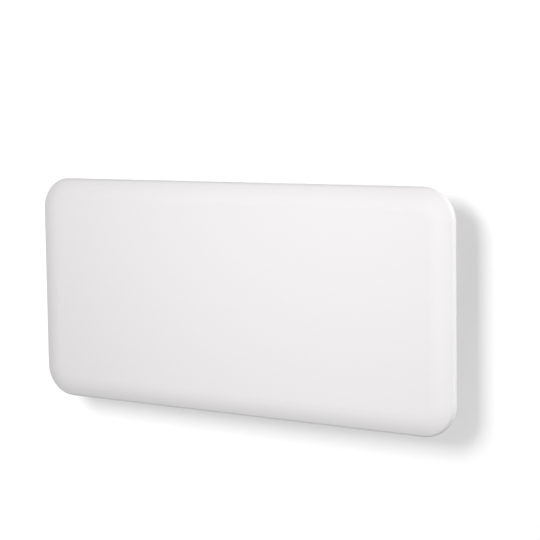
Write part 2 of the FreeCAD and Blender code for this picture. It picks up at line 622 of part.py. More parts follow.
def make_room_sensor():
    """The probe that reaches through the casing's bottom wall."""
    body = new_body("room_sensor", x=SENSOR_X, y=f"-{HOUSING_LINE}", z=f"-{CASING_TOP}")
    turned(body, FRONT, "V_Axis", [
        ("0", "-sensor_cap"),
        ("sensor_rim - sensor_cap / 2", "-sensor_cap"),
        ("sensor_rim", "-sensor_cap / 2"),
        ("sensor_rim", "0"),
        ("sensor_radius", "0"),
        ("sensor_radius", "sensor_length"),
        ("0", "sensor_length"),
    ])


# Control unit
def make_control_housing():
    """The tub through the casing's end wall, with its flange, posts and cord hole."""
    body = new_body("control_housing", y=f"-{HOUSING_LINE}", z=HOUSING_Z)
    tub = new_sketch(body, RIGHT, HOUSING_FLOOR)
    rectangle(tub, "0", "0", "housing_width", "housing_height", "housing_corner")
    pad(body, tub, "housing_sunk + housing_proud - fascia_gauge")
    flange = new_sketch(body, RIGHT, CASING_END)
    rectangle(flange, "0", "0", "housing_width + 2 * flange_side", "housing_height + 2 * flange_end",
              "housing_corner")
    pad(body, flange, "flange_gauge")
    inside = new_sketch(body, RIGHT, f"{HOUSING_FLOOR} + housing_wall")
    rectangle(inside, "0", "0", "housing_width - 2 * housing_wall", "housing_height - 2 * housing_wall",
              "housing_corner - housing_wall")
    pocket(body, inside, "housing_sunk + housing_proud", backwards=True)
    posts = new_sketch(body, RIGHT, f"{HOUSING_FLOOR} + housing_wall")
    spots = []
    for a in (-1, 1):
        for b in (-1, 1):
            spots.append((f"{a} * (board_width / 2 - board_inset)",
                          f"{BOARD_Z} - {HOUSING_Z} + {b} * ({BOARD_HEIGHT} / 2 - board_inset)"))
    for x, y in spots:
        circle(posts, x, y, "post_radius")
    pad(body, posts, f"{BOARD_BACK} - {HOUSING_FLOOR} - housing_wall")
    pilots = new_sketch(body, RIGHT, BOARD_BACK)
    for x, y in spots:
        circle(pilots, x, y, "pilot_radius")
    pocket(body, pilots, "pilot_depth")
    holes = new_sketch(body, RIGHT, CASING_END)
    for side in (-1, 1):
        circle(holes, "0", f"{side} * (housing_height / 2 + flange_screw)", "pilot_radius + slide_fit")
    pocket(body, holes, "4 * flange_gauge", side="Symmetric")
    leads = new_sketch(body, RIGHT, HOUSING_FLOOR)
    for step in (-1, 0, 1):
        circle(leads, f"{step} * lead_spacing", f"{LEAD_Z} - {HOUSING_Z}", "lead_hole")
    pocket(body, leads, "4 * housing_wall", side="Symmetric")
    cord = new_sketch(body, LEVEL, "-housing_height / 2")
    circle(cord, f"{CASING_END} + gland_x", "0", "gland_thread + slide_fit")
    pocket(body, cord, "4 * housing_wall", side="Symmetric")


def make_housing_screws():
    """Two screws through the housing's flange into the casing's end wall."""
    body = new_body("housing_screws", y=f"-{HOUSING_LINE}", z=HOUSING_Z)
    seat = f"({CASING_END} + flange_gauge)"
    spot = "housing_height / 2 + flange_screw"
    head = new_sketch(body, RIGHT, seat)
    circle(head, "0", spot, "small_head_radius")
    cap = pad(body, head, "small_head_height")
    shank = new_sketch(body, RIGHT, seat)
    circle(shank, "0", spot, "pilot_radius")
    stem = pad(body, shank, "small_screw_length", backwards=True)
    mirrored(body, [cap, stem], LEVEL)


def make_control_fascia():
    """The plate that closes the tub, with holes for the window, buttons and switch."""
    body = new_body("control_fascia", y=f"-{HOUSING_LINE}")
    plate = new_sketch(body, RIGHT, FASCIA_IN)
    rectangle(plate, "0", HOUSING_Z, "housing_width", "housing_height", "housing_corner")
    pad(body, plate, "fascia_gauge")
    lip = new_sketch(body, RIGHT, FASCIA_IN)
    rectangle(lip, "0", HOUSING_Z, "housing_width - 2 * housing_wall - 2 * fit",
              "housing_height - 2 * housing_wall - 2 * fit", "housing_corner - housing_wall - fit / 2")
    rectangle(lip, "0", HOUSING_Z, "housing_width - 2 * housing_wall - 2 * lip_width",
              "housing_height - 2 * housing_wall - 2 * lip_width", "edge_break")
    pad(body, lip, "fascia_gauge", backwards=True)
    holes = new_sketch(body, RIGHT, FASCIA_OUT)
    rectangle(holes, "0", WINDOW_Z, "window_width + fit", "window_height + fit", "1.5 * edge_break")
    rectangle(holes, "0", SWITCH_Z, "switch_width + fit", "switch_height + fit")
    for step in range(4):
        circle(holes, "0", f"{BUTTON_TOP} - {step} * {BUTTON_PITCH}", "button_radius + fit")
    pocket(body, holes, "fascia_gauge * 2", side="Symmetric")


def make_display_window():
    """The dark lens in the fascia, with a lip behind it."""
    body = new_body("display_window", y=f"-{HOUSING_LINE}", z=WINDOW_Z)
    lens = new_sketch(body, RIGHT, FASCIA_OUT)
    rectangle(lens, "0", "0", "window_width", "window_height", "1.5 * edge_break")
    pad(body, lens, "fascia_gauge", backwards=True)
    lip = new_sketch(body, RIGHT, FASCIA_IN)
    rectangle(lip, "0", "0", "window_width + 2 * window_lip", "window_height + 2 * window_lip", "window_lip")
    pad(body, lip, "lip_gauge", backwards=True)


def make_block(label, offset, z, width, height, depth, backwards=False, radius="edge_break"):
    """A plain moulded block on the circuit board or on the tub's floor."""
    body = new_body(label, y=f"-{HOUSING_LINE}", z=z)
    shape = new_sketch(body, RIGHT, offset)
    rectangle(shape, "0", "0", width, height, radius)
    pad(body, shape, depth, backwards=backwards)
    return body


def make_control_board():
    """The circuit board on the tub's posts."""
    body = make_block("control_board", BOARD_BACK, BOARD_Z, "board_width", BOARD_HEIGHT, "board_gauge")
    holes = new_sketch(body, RIGHT, BOARD_FRONT)
    for a in (-1, 1):
        for b in (-1, 1):
            circle(holes, f"{a} * (board_width / 2 - board_inset)",
                   f"{b} * ({BOARD_HEIGHT} / 2 - board_inset)", "pilot_radius + slide_fit")
    pocket(body, holes, "4 * board_gauge", side="Symmetric")


def make_board_screws():
    """Four screws that hold the board on its posts."""
    body = new_body("board_screws", y=f"-{HOUSING_LINE}", z=BOARD_Z)
    across, along = "board_width / 2 - board_inset", f"({BOARD_HEIGHT} / 2 - board_inset)"
    head = new_sketch(body, RIGHT, BOARD_FRONT)
    shank = new_sketch(body, RIGHT, BOARD_FRONT)
    for side in (-1, 1):
        circle(head, across, f"{side} * {along}", "small_head_radius")
        circle(shank, across, f"{side} * {along}", "pilot_radius - slide_fit / 2")
    caps = pad(body, head, "small_head_height")
    stems = pad(body, shank, "small_screw_length", backwards=True)
    mirrored(body, [caps, stems], FRONT)


def make_tact_switches():
    """The four small switches on the board behind the buttons."""
    body = new_body("tact_switches", y=f"-{HOUSING_LINE}", z=BUTTON_TOP)
    case = new_sketch(body, RIGHT, BOARD_FRONT)
    rectangle(case, "0", "0", "tact_side", "tact_side", "edge_break")
    base = pad(body, case, "tact_height - plunger_height")
    tip = new_sketch(body, RIGHT, f"{BOARD_FRONT} + tact_height - plunger_height")
    circle(tip, "0", "0", "plunger_radius")
    plunger = pad(body, tip, "plunger_height")
    row = repeated(body, [base, plunger], "Z_Axis", BUTTON_PITCH, "4")
    row.Reversed = True


def make_button(label, step):
    """One push button: a domed cap in the fascia's hole, a flange behind it and a stem."""
    body = new_body(label, y=f"-{HOUSING_LINE}", z=f"{BUTTON_TOP} - {step} * {BUTTON_PITCH}")
    seat = f"({FASCIA_IN} - slide_fit)"
    stem_end = f"({BOARD_FRONT} + tact_height + button_travel + slide_fit)"
    turned(body, FRONT, "H_Axis", [
        (stem_end, "0"),
        (stem_end, "button_stem"),
        (f"{seat} - button_flange_gauge", "button_stem"),
        (f"{seat} - button_flange_gauge", "button_flange"),
        (seat, "button_flange"),
        (seat, "button_radius"),
        (f"{FASCIA_OUT} + button_proud - edge_break", "button_radius"),
        (f"{FASCIA_OUT} + button_proud", "button_radius - edge_break"),
        (f"{FASCIA_OUT} + button_proud", "0"),
    ])


def make_switch_body():
    """The mains switch's case, with a bezel on the fascia and a round well for the rocker."""
    body = new_body("switch_body", x=FASCIA_OUT, y=f"-{HOUSING_LINE}", z=SWITCH_Z)
    case = new_sketch(body, RIGHT)
    rectangle(case, "0", "0", "switch_width", "switch_height")
    pad(body, case, "switch_depth", backwards=True)
    bezel = new_sketch(body, RIGHT)
    rectangle(bezel, "0", "0", "switch_width + 2 * bezel_rim", "switch_height + 2 * bezel_rim", "bezel_rim")
    pad(body, bezel, "bezel_gauge")
    well = new_sketch(body, FRONT)
    circle(well, "0", "0", "rocker_radius + rocker_gap")
    pocket(body, well, "rocker_width + 2 * fit", side="Symmetric")
    pivot = new_sketch(body, FRONT)
    circle(pivot, "0", "0", "trunnion_radius + slide_fit")
    pocket(body, pivot, "rocker_width + 2 * fit + 2 * trunnion_reach", side="Symmetric")


def make_switch_rocker():
    """The rocker on its two trunnions, tilted to its off position."""
    turn = FreeCAD.Rotation(FreeCAD.Vector(0, -1, 0), value("rocker_angle"))
    body = new_body("switch_rocker", x=FASCIA_OUT, y=f"-{HOUSING_LINE}", z=SWITCH_Z, turn=turn)
    bind(body, "Placement.Rotation.Angle", "rocker_angle")
    shape = new_sketch(body, FRONT)
    edge = "rocker_radius * 0.9"
    outline(shape, [
        ("-rocker_radius * 0.75", "-rocker_radius * 0.5", "2"),
        ("0", f"-{edge}", "1"),
        ("rocker_rise", f"-{edge}", "0.5"),
        ("rocker_rise * 0.55", "0", "6"),
        ("rocker_rise", edge, "0.5"),
        ("0", edge, "1"),
        ("-rocker_radius * 0.75", "rocker_radius * 0.5", "2"),
    ])
    pad(body, shape, "rocker_width", side="Symmetric")
    pivot = new_sketch(body, FRONT)
    circle(pivot, "0", "0", "trunnion_radius")
    pad(body, pivot, "rocker_width + 2 * trunnion_reach", side="Symmetric")


def make_cord_gland():
    """The cord gland in the tub's bottom, with a stepped outside and a bore for the cord."""
    body = new_body("cord_gland", x=f"{CASING_END} + gland_x", y=f"-{HOUSING_LINE}", z=HOUSING_LOW)
    turned(body, FRONT, "V_Axis", [
        ("cord_radius", "housing_wall + nut_height + thread_spare"),
        ("gland_thread", "housing_wall + nut_height + thread_spare"),
        ("gland_thread", "0"),
        ("gland_radius", "0"),
        ("gland_radius", "-gland_drop * 0.6"),
        ("cord_radius + gland_lip", "-gland_drop"),
        ("cord_radius", "-gland_drop"),
    ])


def make_gland_nut():
    """The hexagon nut that holds the gland from inside the tub."""
    body = new_body("gland_nut", x=f"{CASING_END} + gland_x", y=f"-{HOUSING_LINE}", z=HOUSING_LOW)
    ring = new_sketch(body, LEVEL, "housing_wall")
    outline(ring, [(f"nut_radius * cos({60 * step})", f"nut_radius * sin({60 * step})")
                   for step in range(6)])
    circle(ring, "0", "0", "gland_thread + slide_fit / 2")
    pad(body, ring, "nut_height")


# Wall mount
def make_wall_bracket():
    """The folded bracket: two arms with a hook below and a nose above, and two cross bars."""
    body = new_body("wall_bracket")
    section = new_sketch(body, RIGHT, "arm_spacing / 2")
    cradle = "(pivot_radius + hook_fit)"
    shelf = f"-{PIVOT_DROP} - {cradle}"
    lip = f"-(pivot_stand + {cradle})"
    outline(section, [
        ("0", ARM_TOP, "2 * bracket_gauge"),
        ("-nose_reach", ARM_TOP, "2 * bracket_gauge"),
        ("-nose_reach", f"{ARM_TOP} - nose_drop"),
        ("-nose_reach + bracket_gauge", f"{ARM_TOP} - nose_drop"),
        ("-nose_reach + bracket_gauge", f"{ARM_TOP} - bracket_gauge", "bracket_gauge"),
        ("-bracket_gauge", f"{ARM_TOP} - bracket_gauge", "bracket_gauge"),
        ("-bracket_gauge", shelf, "bracket_gauge"),
        (lip, shelf, cradle),
        (lip, f"-{PIVOT_DROP} + hook_lip"),
        (f"{lip} - bracket_gauge", f"-{PIVOT_DROP} + hook_lip"),
        (f"{lip} - bracket_gauge", f"{shelf} - bracket_gauge", f"{cradle} + bracket_gauge"),
        ("0", f"{shelf} - bracket_gauge", "2 * bracket_gauge"),
    ])
    arm = pad(body, section, "arm_width", side="Symmetric")
    pair = mirrored(body, [arm], RIGHT)
    bars = new_sketch(body, FRONT)
    for side in (-1, 1):
        rectangle(bars, "0", f"{side} * bar_offset", "arm_spacing", "bar_height")
    body.Tip = pair
    pad(body, bars, "bracket_gauge")
    holes = new_sketch(body, FRONT)
    for a in (-1, 1):
        for b in (-1, 1):
            circle(holes, f"{a} * arm_spacing / 2", f"{b} * {SCREW_SPACING} / 2", "screw_hole")
    pocket(body, holes, "4 * bracket_gauge", side="Symmetric")
    rivets = new_sketch(body, LEVEL, ARM_TOP)
    for side in (-1, 1):
        circle(rivets, f"{side} * arm_spacing / 2", "-nose_reach / 2", "rivet_radius + slide_fit")
    pocket(body, rivets, "4 * bracket_gauge", side="Symmetric")


def make_bracket_buffers():
    """Two rubber pads on the noses, just short of the casing's back."""
    body = new_body("bracket_buffers", y="-nose_reach", z=f"{ARM_TOP} - buffer_edge")
    shape = new_sketch(body, FRONT)
    for side in (-1, 1):
        rectangle(shape, f"{side} * arm_spacing / 2", "0", "buffer_width", "buffer_height", "4 * edge_break")
    pad(body, shape, "stand_off - nose_reach - buffer_gap")


def make_latch_springs():
    """Two leaf springs on the noses, each with a barb behind the edge of a casing slot."""
    body = new_body("latch_springs", x="arm_spacing / 2", z=ARM_TOP)
    section = new_sketch(body, RIGHT)
    heel = f"-({CASING_INSIDE} + fit)"
    outline(section, [
        ("-latch_heel", "0"),
        ("-latch_heel", "latch_gauge"),
        (heel, "latch_gauge"),
        (heel, "latch_gauge + latch_rise"),
        (f"{heel} - latch_gauge", "latch_gauge + latch_rise"),
        (f"{heel} - latch_barb", "latch_gauge"),
        (f"{heel} - latch_barb", "0"),
    ])
    pad(body, section, "latch_width", side="Symmetric")
    hole = new_sketch(body, LEVEL)
    circle(hole, "0", "-nose_reach / 2", "rivet_radius + slide_fit")
    pocket(body, hole, "4 * latch_gauge", side="Symmetric")
    return body


def make_latch_rivets():
    """The rivets that hold the leaf springs on the noses."""
    body = new_body("latch_rivets", y="-nose_reach / 2", z=ARM_TOP)
    foot = "-bracket_gauge"
    rivet = turned(body, FRONT, "V_Axis", [
        ("0", "latch_gauge + rivet_height"),
        ("rivet_head * 0.6", "latch_gauge + rivet_height"),
        ("rivet_head", "latch_gauge + rivet_height * 0.4"),
        ("rivet_head", "latch_gauge"),
        ("rivet_radius", "latch_gauge"),
        ("rivet_radius", foot),
        ("rivet_head", foot),
        ("rivet_head", f"{foot} - rivet_foot"),
        ("0", f"{foot} - rivet_foot"),
    ])
    repeated(body, [rivet], "X_Axis", "arm_spacing", "2")
    bind(body, "Placement.Base.x", "-arm_spacing / 2")


def make_hangers():
    """Two pairs of ears on the casing's back, which carry the pivot rods."""
    body = new_body("hangers", x="arm_spacing / 2", z=f"-{PIVOT_DROP}")
    base = new_sketch(body, FRONT, "stand_off - hanger_gauge")
    rectangle(base, "0", "0", "hanger_gap + 2 * hanger_gauge", "2 * hanger_base", "edge_break")
    pad(body, base, "hanger_gauge")
    ears = []
    for side in (-1, 1):
        ear = new_sketch(body, RIGHT, f"{side} * (hanger_gap + hanger_gauge) / 2")
        outline(ear, [
            ("-stand_off", "-ear_root"), ("-stand_off", "ear_root"),
            ("-pivot_stand + ear_radius", "ear_radius", "ear_radius * 0.9"),
            ("-pivot_stand + ear_radius", "-ear_radius", "ear_radius * 0.9"),
        ])
        ears.append(pad(body, ear, "hanger_gauge", side="Symmetric"))
    bore = new_sketch(body, RIGHT)
    circle(bore, "-pivot_stand", "0", "pivot_radius + slide_fit / 2")
    pocket(body, bore, "2 * hanger_gap", side="Symmetric")
    return body


def make_pivot_rods():
    """The rods between the ears, which rest in the bracket's hooks."""
    body = new_body("pivot_rods", x="arm_spacing / 2", y="-pivot_stand", z=f"-{PIVOT_DROP}")
    end = "(hanger_gap / 2 + hanger_gauge + rod_proud)"
    turned(body, FRONT, "H_Axis", rod_profile(end, "pivot_radius"))
    return body


def make_pairs(maker):
    """Build a sub-part at the right arm and repeat all of it at the left arm."""
    body = maker()
    solids = [item for item in body.Group if item.isDerivedFrom("PartDesign::FeatureAddSub")]
    row = repeated(body, solids, "X_Axis", "arm_spacing", "2")
    row.Reversed = True


make_front_panel()
make_front_rails()
make_casing_screws()
make_rear_casing()
make_grille("outlet_grille", True)
make_grille("inlet_grille", False)
make_element_fins()
make_element_rod()
make_element_terminals()
make_element_bushes()
make_element_brackets()
make_heat_shield()
make_thermal_cutout()
make_lead_wires()
make_room_sensor()
make_control_housing()
make_housing_screws()
make_control_fascia()
make_display_window()
make_control_board()
make_board_screws()
make_block("display_module", BOARD_FRONT, WINDOW_Z, "window_width", "window_height", "display_height")
make_block("wireless_module", BOARD_BACK, f"{BOARD_Z} + {BOARD_HEIGHT} / 2 - radio_margin",
           "radio_width", "radio_height", "radio_depth", backwards=True)
make_block("power_relay", BOARD_BACK, f"{BOARD_Z} - {BOARD_HEIGHT} / 2 + relay_margin",
           "relay_width", "relay_height", "relay_depth", backwards=True)
make_block("terminal_block", f"{HOUSING_FLOOR} + housing_wall", f"{HOUSING_LOW} + block_margin",
           "block_width", "block_height", "block_depth")
make_tact_switches()
for number, name in enumerate(("power_button", "plus_button", "minus_button", "mode_button")):
    make_button(name, number)
make_switch_body()
make_switch_rocker()
make_cord_gland()
make_gland_nut()
make_wall_bracket()
make_bracket_buffers()
make_pairs(make_latch_springs)
make_latch_rivets()
make_pairs(make_hangers)
make_pairs(make_pivot_rods)
doc.recompute()

# Check every object, then write one file for each sub-part
for item in doc.Objects:
    if "Invalid" in item.State or "Error" in item.State:
        raise RuntimeError(f"{item.Label} is {item.State}")
os.makedirs("parts", exist_ok=True)
for item in doc.Objects:
    if item.TypeId == "PartDesign::Body" or item.Label == "lead_wires":
        if item.Shape.isNull() or not item.Shape.isValid():
            raise RuntimeError(f"{item.Label} has no valid shape")
        item.Shape.exportStep(f"parts/{item.Label}.step")
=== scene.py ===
"""Looks of a white wall-hung panel heater on a pale wall.

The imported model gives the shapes. This script dresses each piece in its real finish, models the
screw heads and the signs on the controls, and sets the wall, the lamps and the camera.
"""
import logging
import math
from dataclasses import dataclass
from enum import Enum
from typing import Any, Callable, Iterable, Optional

import bpy
from mathutils import Matrix, Vector


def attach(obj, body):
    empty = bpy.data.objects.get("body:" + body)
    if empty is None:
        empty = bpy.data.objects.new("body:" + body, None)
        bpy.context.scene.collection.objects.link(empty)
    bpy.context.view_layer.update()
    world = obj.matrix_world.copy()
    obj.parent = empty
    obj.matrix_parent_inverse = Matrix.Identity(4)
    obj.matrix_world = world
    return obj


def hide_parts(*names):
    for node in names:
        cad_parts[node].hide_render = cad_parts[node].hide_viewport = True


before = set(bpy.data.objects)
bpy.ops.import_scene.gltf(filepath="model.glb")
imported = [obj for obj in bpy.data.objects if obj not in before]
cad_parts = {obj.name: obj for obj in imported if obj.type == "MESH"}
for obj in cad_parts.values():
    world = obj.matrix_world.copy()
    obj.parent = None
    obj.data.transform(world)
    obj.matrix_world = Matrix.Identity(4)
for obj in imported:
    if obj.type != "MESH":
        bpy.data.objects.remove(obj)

LOG = logging.getLogger("panel_heater")
MM = 0.001
QUARTER_TURN = math.pi / 2
WHITE = "#FFFFFF"
Point = tuple[float, float, float]
Socket = bpy.types.NodeSocket
# Faces that meet at less than this angle are shaded as one smooth surface
SMOOTH_BELOW = math.radians(32)
# A face looks a given way when the cosine of the angle between its normal and that way is above this
LOOKS_THAT_WAY = 0.9
# The colour sockets of a Mix node, by number because their names repeat
MIX_FIRST, MIX_SECOND, MIX_RESULT = 6, 7, 2
# How far a finish's roughness strays to either side, and how strongly its bump shows
GLOSS_STRAY = 0.12
BUMP_STRENGTH = 0.6


def linear(hex_colour: str) -> tuple[float, float, float, float]:
    """Turn an sRGB hex colour into a linear one.

    Args:
        hex_colour: Six hexadecimal digits after a hash sign.

    Returns:
        Red, green, blue and an alpha of 1.
    """
    parts = [int(hex_colour[i:i + 2], 16) / 255 for i in (1, 3, 5)]
    red, green, blue = [p / 12.92 if p <= 0.04045 else ((p + 0.055) / 1.055) ** 2.4 for p in parts]
    return red, green, blue, 1.0


def add_node(tree: bpy.types.NodeTree, kind: str, settings: Optional[dict[str, Any]] = None,
             sockets: Optional[dict[Any, Any]] = None) -> bpy.types.Node:
    """Add one shader node, set it up and link it.

    Args:
        tree: The material's or world's node tree.
        kind: The node's type name without its ShaderNode prefix.
        settings: Values of the node's own properties.
        sockets: Input name or number to a value, or to an output socket to link from.

    Returns:
        The new node.
    """
    node = tree.nodes.new("ShaderNode" + kind)
    for name, value in (settings or {}).items():
        setattr(node, name, value)
    for name, value in (sockets or {}).items():
        if isinstance(value, bpy.types.NodeSocket):
            tree.links.new(value, node.inputs[name])
        else:
            node.inputs[name].default_value = value
    return node


@dataclass(frozen=True)
class Finish:
    """One real finish.

    Attributes:
        name: The material's name.
        colour: Its sRGB colour.
        shade: The second colour, which its pattern drifts to.
        roughness: Its mean roughness.
        grain_mm: The size of its surface grain.
        depth_mm: The depth of its surface grain.
        metallic: 1 for a metal.
        ior: Its index of refraction, unless it is a metal.
        specular: How strongly it mirrors; 0.5 is plain.
        transmission: 1 for a clear material.
    """

    name: str
    colour: str
    shade: str
    roughness: float
    grain_mm: float
    depth_mm: float
    metallic: float = 0.0
    ior: float = 1.5
    specular: float = 0.5
    transmission: float = 0.0

    def material(self) -> bpy.types.Material:
        """Build the finish as a node material, or give the one already built.

        Returns:
            The material, with its colour, roughness and bump taken from Object coordinates.
        """
        if self.name in bpy.data.materials:
            return bpy.data.materials[self.name]
        material = bpy.data.materials.new(self.name)
        material.use_nodes = True
        tree = material.node_tree
        tree.nodes.clear()
        place = add_node(tree, "TexCoord").outputs["Object"]
        tone, height = self.pattern(tree, place)
        tint = add_node(tree, "Mix", {"data_type": "RGBA"}, {
            "Factor": tone, MIX_FIRST: linear(self.colour), MIX_SECOND: linear(self.shade)})
        gloss = add_node(tree, "MapRange", None,
                         {"Value": tone, "To Min": self.roughness * (1 - GLOSS_STRAY),
                          "To Max": self.roughness * (1 + GLOSS_STRAY)})
        bump = add_node(tree, "Bump", None,
                        {"Height": height, "Distance": self.depth_mm * MM, "Strength": BUMP_STRENGTH})
        shader = add_node(tree, "BsdfPrincipled", None, {
            "Base Color": tint.outputs[MIX_RESULT], "Roughness": gloss.outputs["Result"],
            "Normal": bump.outputs["Normal"], "Metallic": self.metallic,
            "Specular IOR Level": self.specular, "Transmission Weight": self.transmission})
        if self.metallic == 0.0:
            shader.inputs["IOR"].default_value = self.ior
        add_node(tree, "OutputMaterial", None, {"Surface": shader.outputs["BSDF"]})
        return material

    def pattern(self, tree: bpy.types.NodeTree, place: Socket) -> tuple[Socket, Socket]:
        """Add the grain's texture: soft lumps, as a melt that flowed before it set.

        Args:
            tree: The material's node tree.
            place: The Object coordinates.

        Returns:
            Two sockets from 0 to 1: the colour's tone and the surface's height.
        """
        lumps = add_node(tree, "TexNoise", None,
                         {"Vector": place, "Scale": 1 / (self.grain_mm * MM), "Detail": 1.0})
        return lumps.outputs[0], lumps.outputs[0]


# The real grain is under a tenth of a millimetre: it is drawn coarser so that it shows
@dataclass(frozen=True)
class Moulded(Finish):
    """A plastic or ceramic piece with the grain of its spark-eroded tool.

    Attributes:
        drift_grains: How many grains wide the slow drift of tone is.
    """

    drift_grains: float = 40.0

    def pattern(self, tree: bpy.types.NodeTree, place: Socket) -> tuple[Socket, Socket]:
        """Add a fine crisp grain over a slow drift of tone.

        Args:
            tree: The material's node tree.
            place: The Object coordinates.

        Returns:
            Two sockets from 0 to 1: the colour's tone and the surface's height.
        """
        drift = add_node(tree, "TexNoise", None, {
            "Vector": place, "Scale": 1 / (self.drift_grains * self.grain_mm * MM), "Detail": 2.0})
        grain = add_node(tree, "TexNoise", None,
                         {"Vector": place, "Scale": 1 / (self.grain_mm * MM), "Detail": 5.0})
        return drift.outputs[0], grain.outputs[0]


@dataclass(frozen=True)
class Spangled(Finish):
    """Hot-dip zinc, whose crystals show as patches of slightly different grey.

    Attributes:
        rag_count: How many ragged waves a crystal's edge has.
        rag_reach: How far they reach, as a share of the crystal.
    """

    rag_count: float = 3.0
    rag_reach: float = 0.4

    def pattern(self, tree: bpy.types.NodeTree, place: Socket) -> tuple[Socket, Socket]:
        """Add the crystals, with ragged edges.

        Args:
            tree: The material's node tree.
            place: The Object coordinates.

        Returns:
            Two sockets from 0 to 1: the colour's tone and the surface's height.
        """
        scale = 1 / (self.grain_mm * MM)
        reach = self.rag_reach / scale
        rag = add_node(tree, "TexNoise", None,
                       {"Vector": place, "Scale": self.rag_count * scale, "Detail": 3.0})
        centred = add_node(tree, "VectorMath", {"operation": "SUBTRACT"},
                           {0: rag.outputs["Color"], 1: (0.5, 0.5, 0.5)})
        shifted = add_node(tree, "VectorMath", {"operation": "MULTIPLY_ADD"},
                           {0: centred.outputs[0], 1: (reach, reach, reach), 2: place})
        cells = add_node(tree, "TexVoronoi", None, {"Vector": shifted.outputs[0], "Scale": scale})
        grey = add_node(tree, "SeparateColor", None, {"Color": cells.outputs["Color"]})
        return grey.outputs[0], cells.outputs["Distance"]


# The real lines are a few hundredths of a millimetre apart: they are drawn coarser so that they show
@dataclass(frozen=True)
class Drawn(Finish):
    """Metal with the fine lines that drawing, rolling or turning leaves.

    Attributes:
        along: How much each axis is squeezed; the lines run along the most squeezed one.
    """

    along: Point = (0.04, 1.0, 1.0)

    def pattern(self, tree: bpy.types.NodeTree, place: Socket) -> tuple[Socket, Socket]:
        """Add lines that run the way the metal was drawn.

        Args:
            tree: The material's node tree.
            place: The Object coordinates.

        Returns:
            Two sockets from 0 to 1: the colour's tone and the surface's height.
        """
        pulled = add_node(tree, "Mapping", None, {"Vector": place, "Scale": self.along})
        lines = add_node(tree, "TexNoise", None, {"Vector": pulled.outputs[0], "Detail": 3.0,
                                                  "Scale": 1 / (self.grain_mm * MM)})
        return lines.outputs[0], lines.outputs[0]


# Baked polyester powder coat: an even satin white with the faint ripple of orange peel
SHELL_WHITE = Finish("powder_coat_white", "#F2F0F1", "#EFEDEE", 0.55, 2.4, 0.02, specular=0.2)
CASING_WHITE = Finish("powder_coat_casing", "#EAEAEA", "#E4E4E4", 0.5, 2.0, 0.03)
# Heat-proof polyamide: pale grey and matt
GRILLE_GREY = Moulded("polyamide_grille", "#CDCFD0", "#C3C5C6", 0.6, 0.8, 0.03)
# Galvanised sheet: 8 mm crystals in two close greys
ZINC = Spangled("galvanised_sheet", "#C4C4C3", "#B7B8B8", 0.42, 8.0, 0.01, metallic=1.0)
# Zinc-plated fasteners and rods: bright, with fine turning lines
PLATED_STEEL = Drawn("plated_steel", "#CFD0D0", "#B9BBBC", 0.26, 0.5, 0.01, metallic=1.0)
# Blued spring strip: darker and cooler than the plated steel
SPRING_STEEL = Drawn("blued_spring_steel", "#8A8D92", "#74777C", 0.32, 0.6, 0.01, metallic=1.0)
# Aluminium as rolled: pale and satin
MILL_ALUMINIUM = Drawn("mill_aluminium", "#DADCDE", "#C6C9CC", 0.38, 0.8, 0.01, metallic=1.0)
# Tinned sheet of a shielding can: bright and nearly even
TINNED_STEEL = Drawn("tinned_steel", "#C9CCCF", "#B9BDC0", 0.3, 0.7, 0.005, metallic=1.0)
# Fired steatite: warm white, dry and grainy
STEATITE = Moulded("steatite_ceramic", "#EDE7D8", "#E2DAC8", 0.7, 0.6, 0.02)
# Pressed phenolic resin: nearly black brown
PHENOLIC = Moulded("phenolic_resin", "#2B2725", "#221F1D", 0.45, 0.7, 0.02)
# Silicone rubber round the wires: warm white and waxy
SILICONE = Finish("silicone_rubber_lead", "#D8D3C8", "#CBC5B9", 0.55, 1.0, 0.02)
# ABS mouldings: satin white or grey, and black with a polished tool
ABS_WHITE = Moulded("abs_white", "#E9E9E9", "#E2E2E2", 0.5, 0.7, 0.025)
ABS_GREY = Moulded("abs_button_grey", "#D6D8DA", "#CDCFD1", 0.42, 0.5, 0.015)
ABS_BLACK = Finish("abs_gloss_black", "#17181A", "#141517", 0.14, 3.0, 0.004, specular=0.32)
# Nylon: satin black, or its natural cream
NYLON_BLACK = Moulded("nylon_black", "#1E1F21", "#191A1B", 0.4, 0.6, 0.02)
NYLON_NATURAL = Moulded("nylon_natural", "#E3DCCB", "#D9D1BE", 0.5, 0.8, 0.02)
# Smoked acrylic lets the display's unlit digits show faintly through its shine
SMOKED_ACRYLIC = Finish("smoked_acrylic", "#9299A0", "#8C939A", 0.03, 6.0, 0.002, ior=1.49,
                        transmission=1.0)
# Solder mask over copper: green, smooth and half glossy
SOLDER_MASK = Finish("solder_mask_green", "#1D5B39", "#17502F", 0.35, 1.2, 0.01)
# Polyester cover of a relay: blue and satin
POLYESTER_BLUE = Moulded("polyester_relay_blue", "#27508F", "#224884", 0.4, 0.8, 0.02)
# Moulded rubber: dull and slightly dusty
RUBBER = Moulded("nitrile_rubber", "#262626", "#1D1D1D", 0.85, 0.9, 0.05)
# Pad-printed ink: dense and matt
INK_DARK = Moulded("pad_print_dark", "#3A3D40", "#34373A", 0.55, 0.3, 0.005)
INK_PALE = Moulded("pad_print_pale", "#E4E6E8", "#DCDEE0", 0.55, 0.3, 0.005)
# Unlit light-pipe resin of the digits: milky grey
DIGIT_RESIN = Moulded("milky_resin", "#C9CCCE", "#BFC2C4", 0.4, 0.4, 0.005)

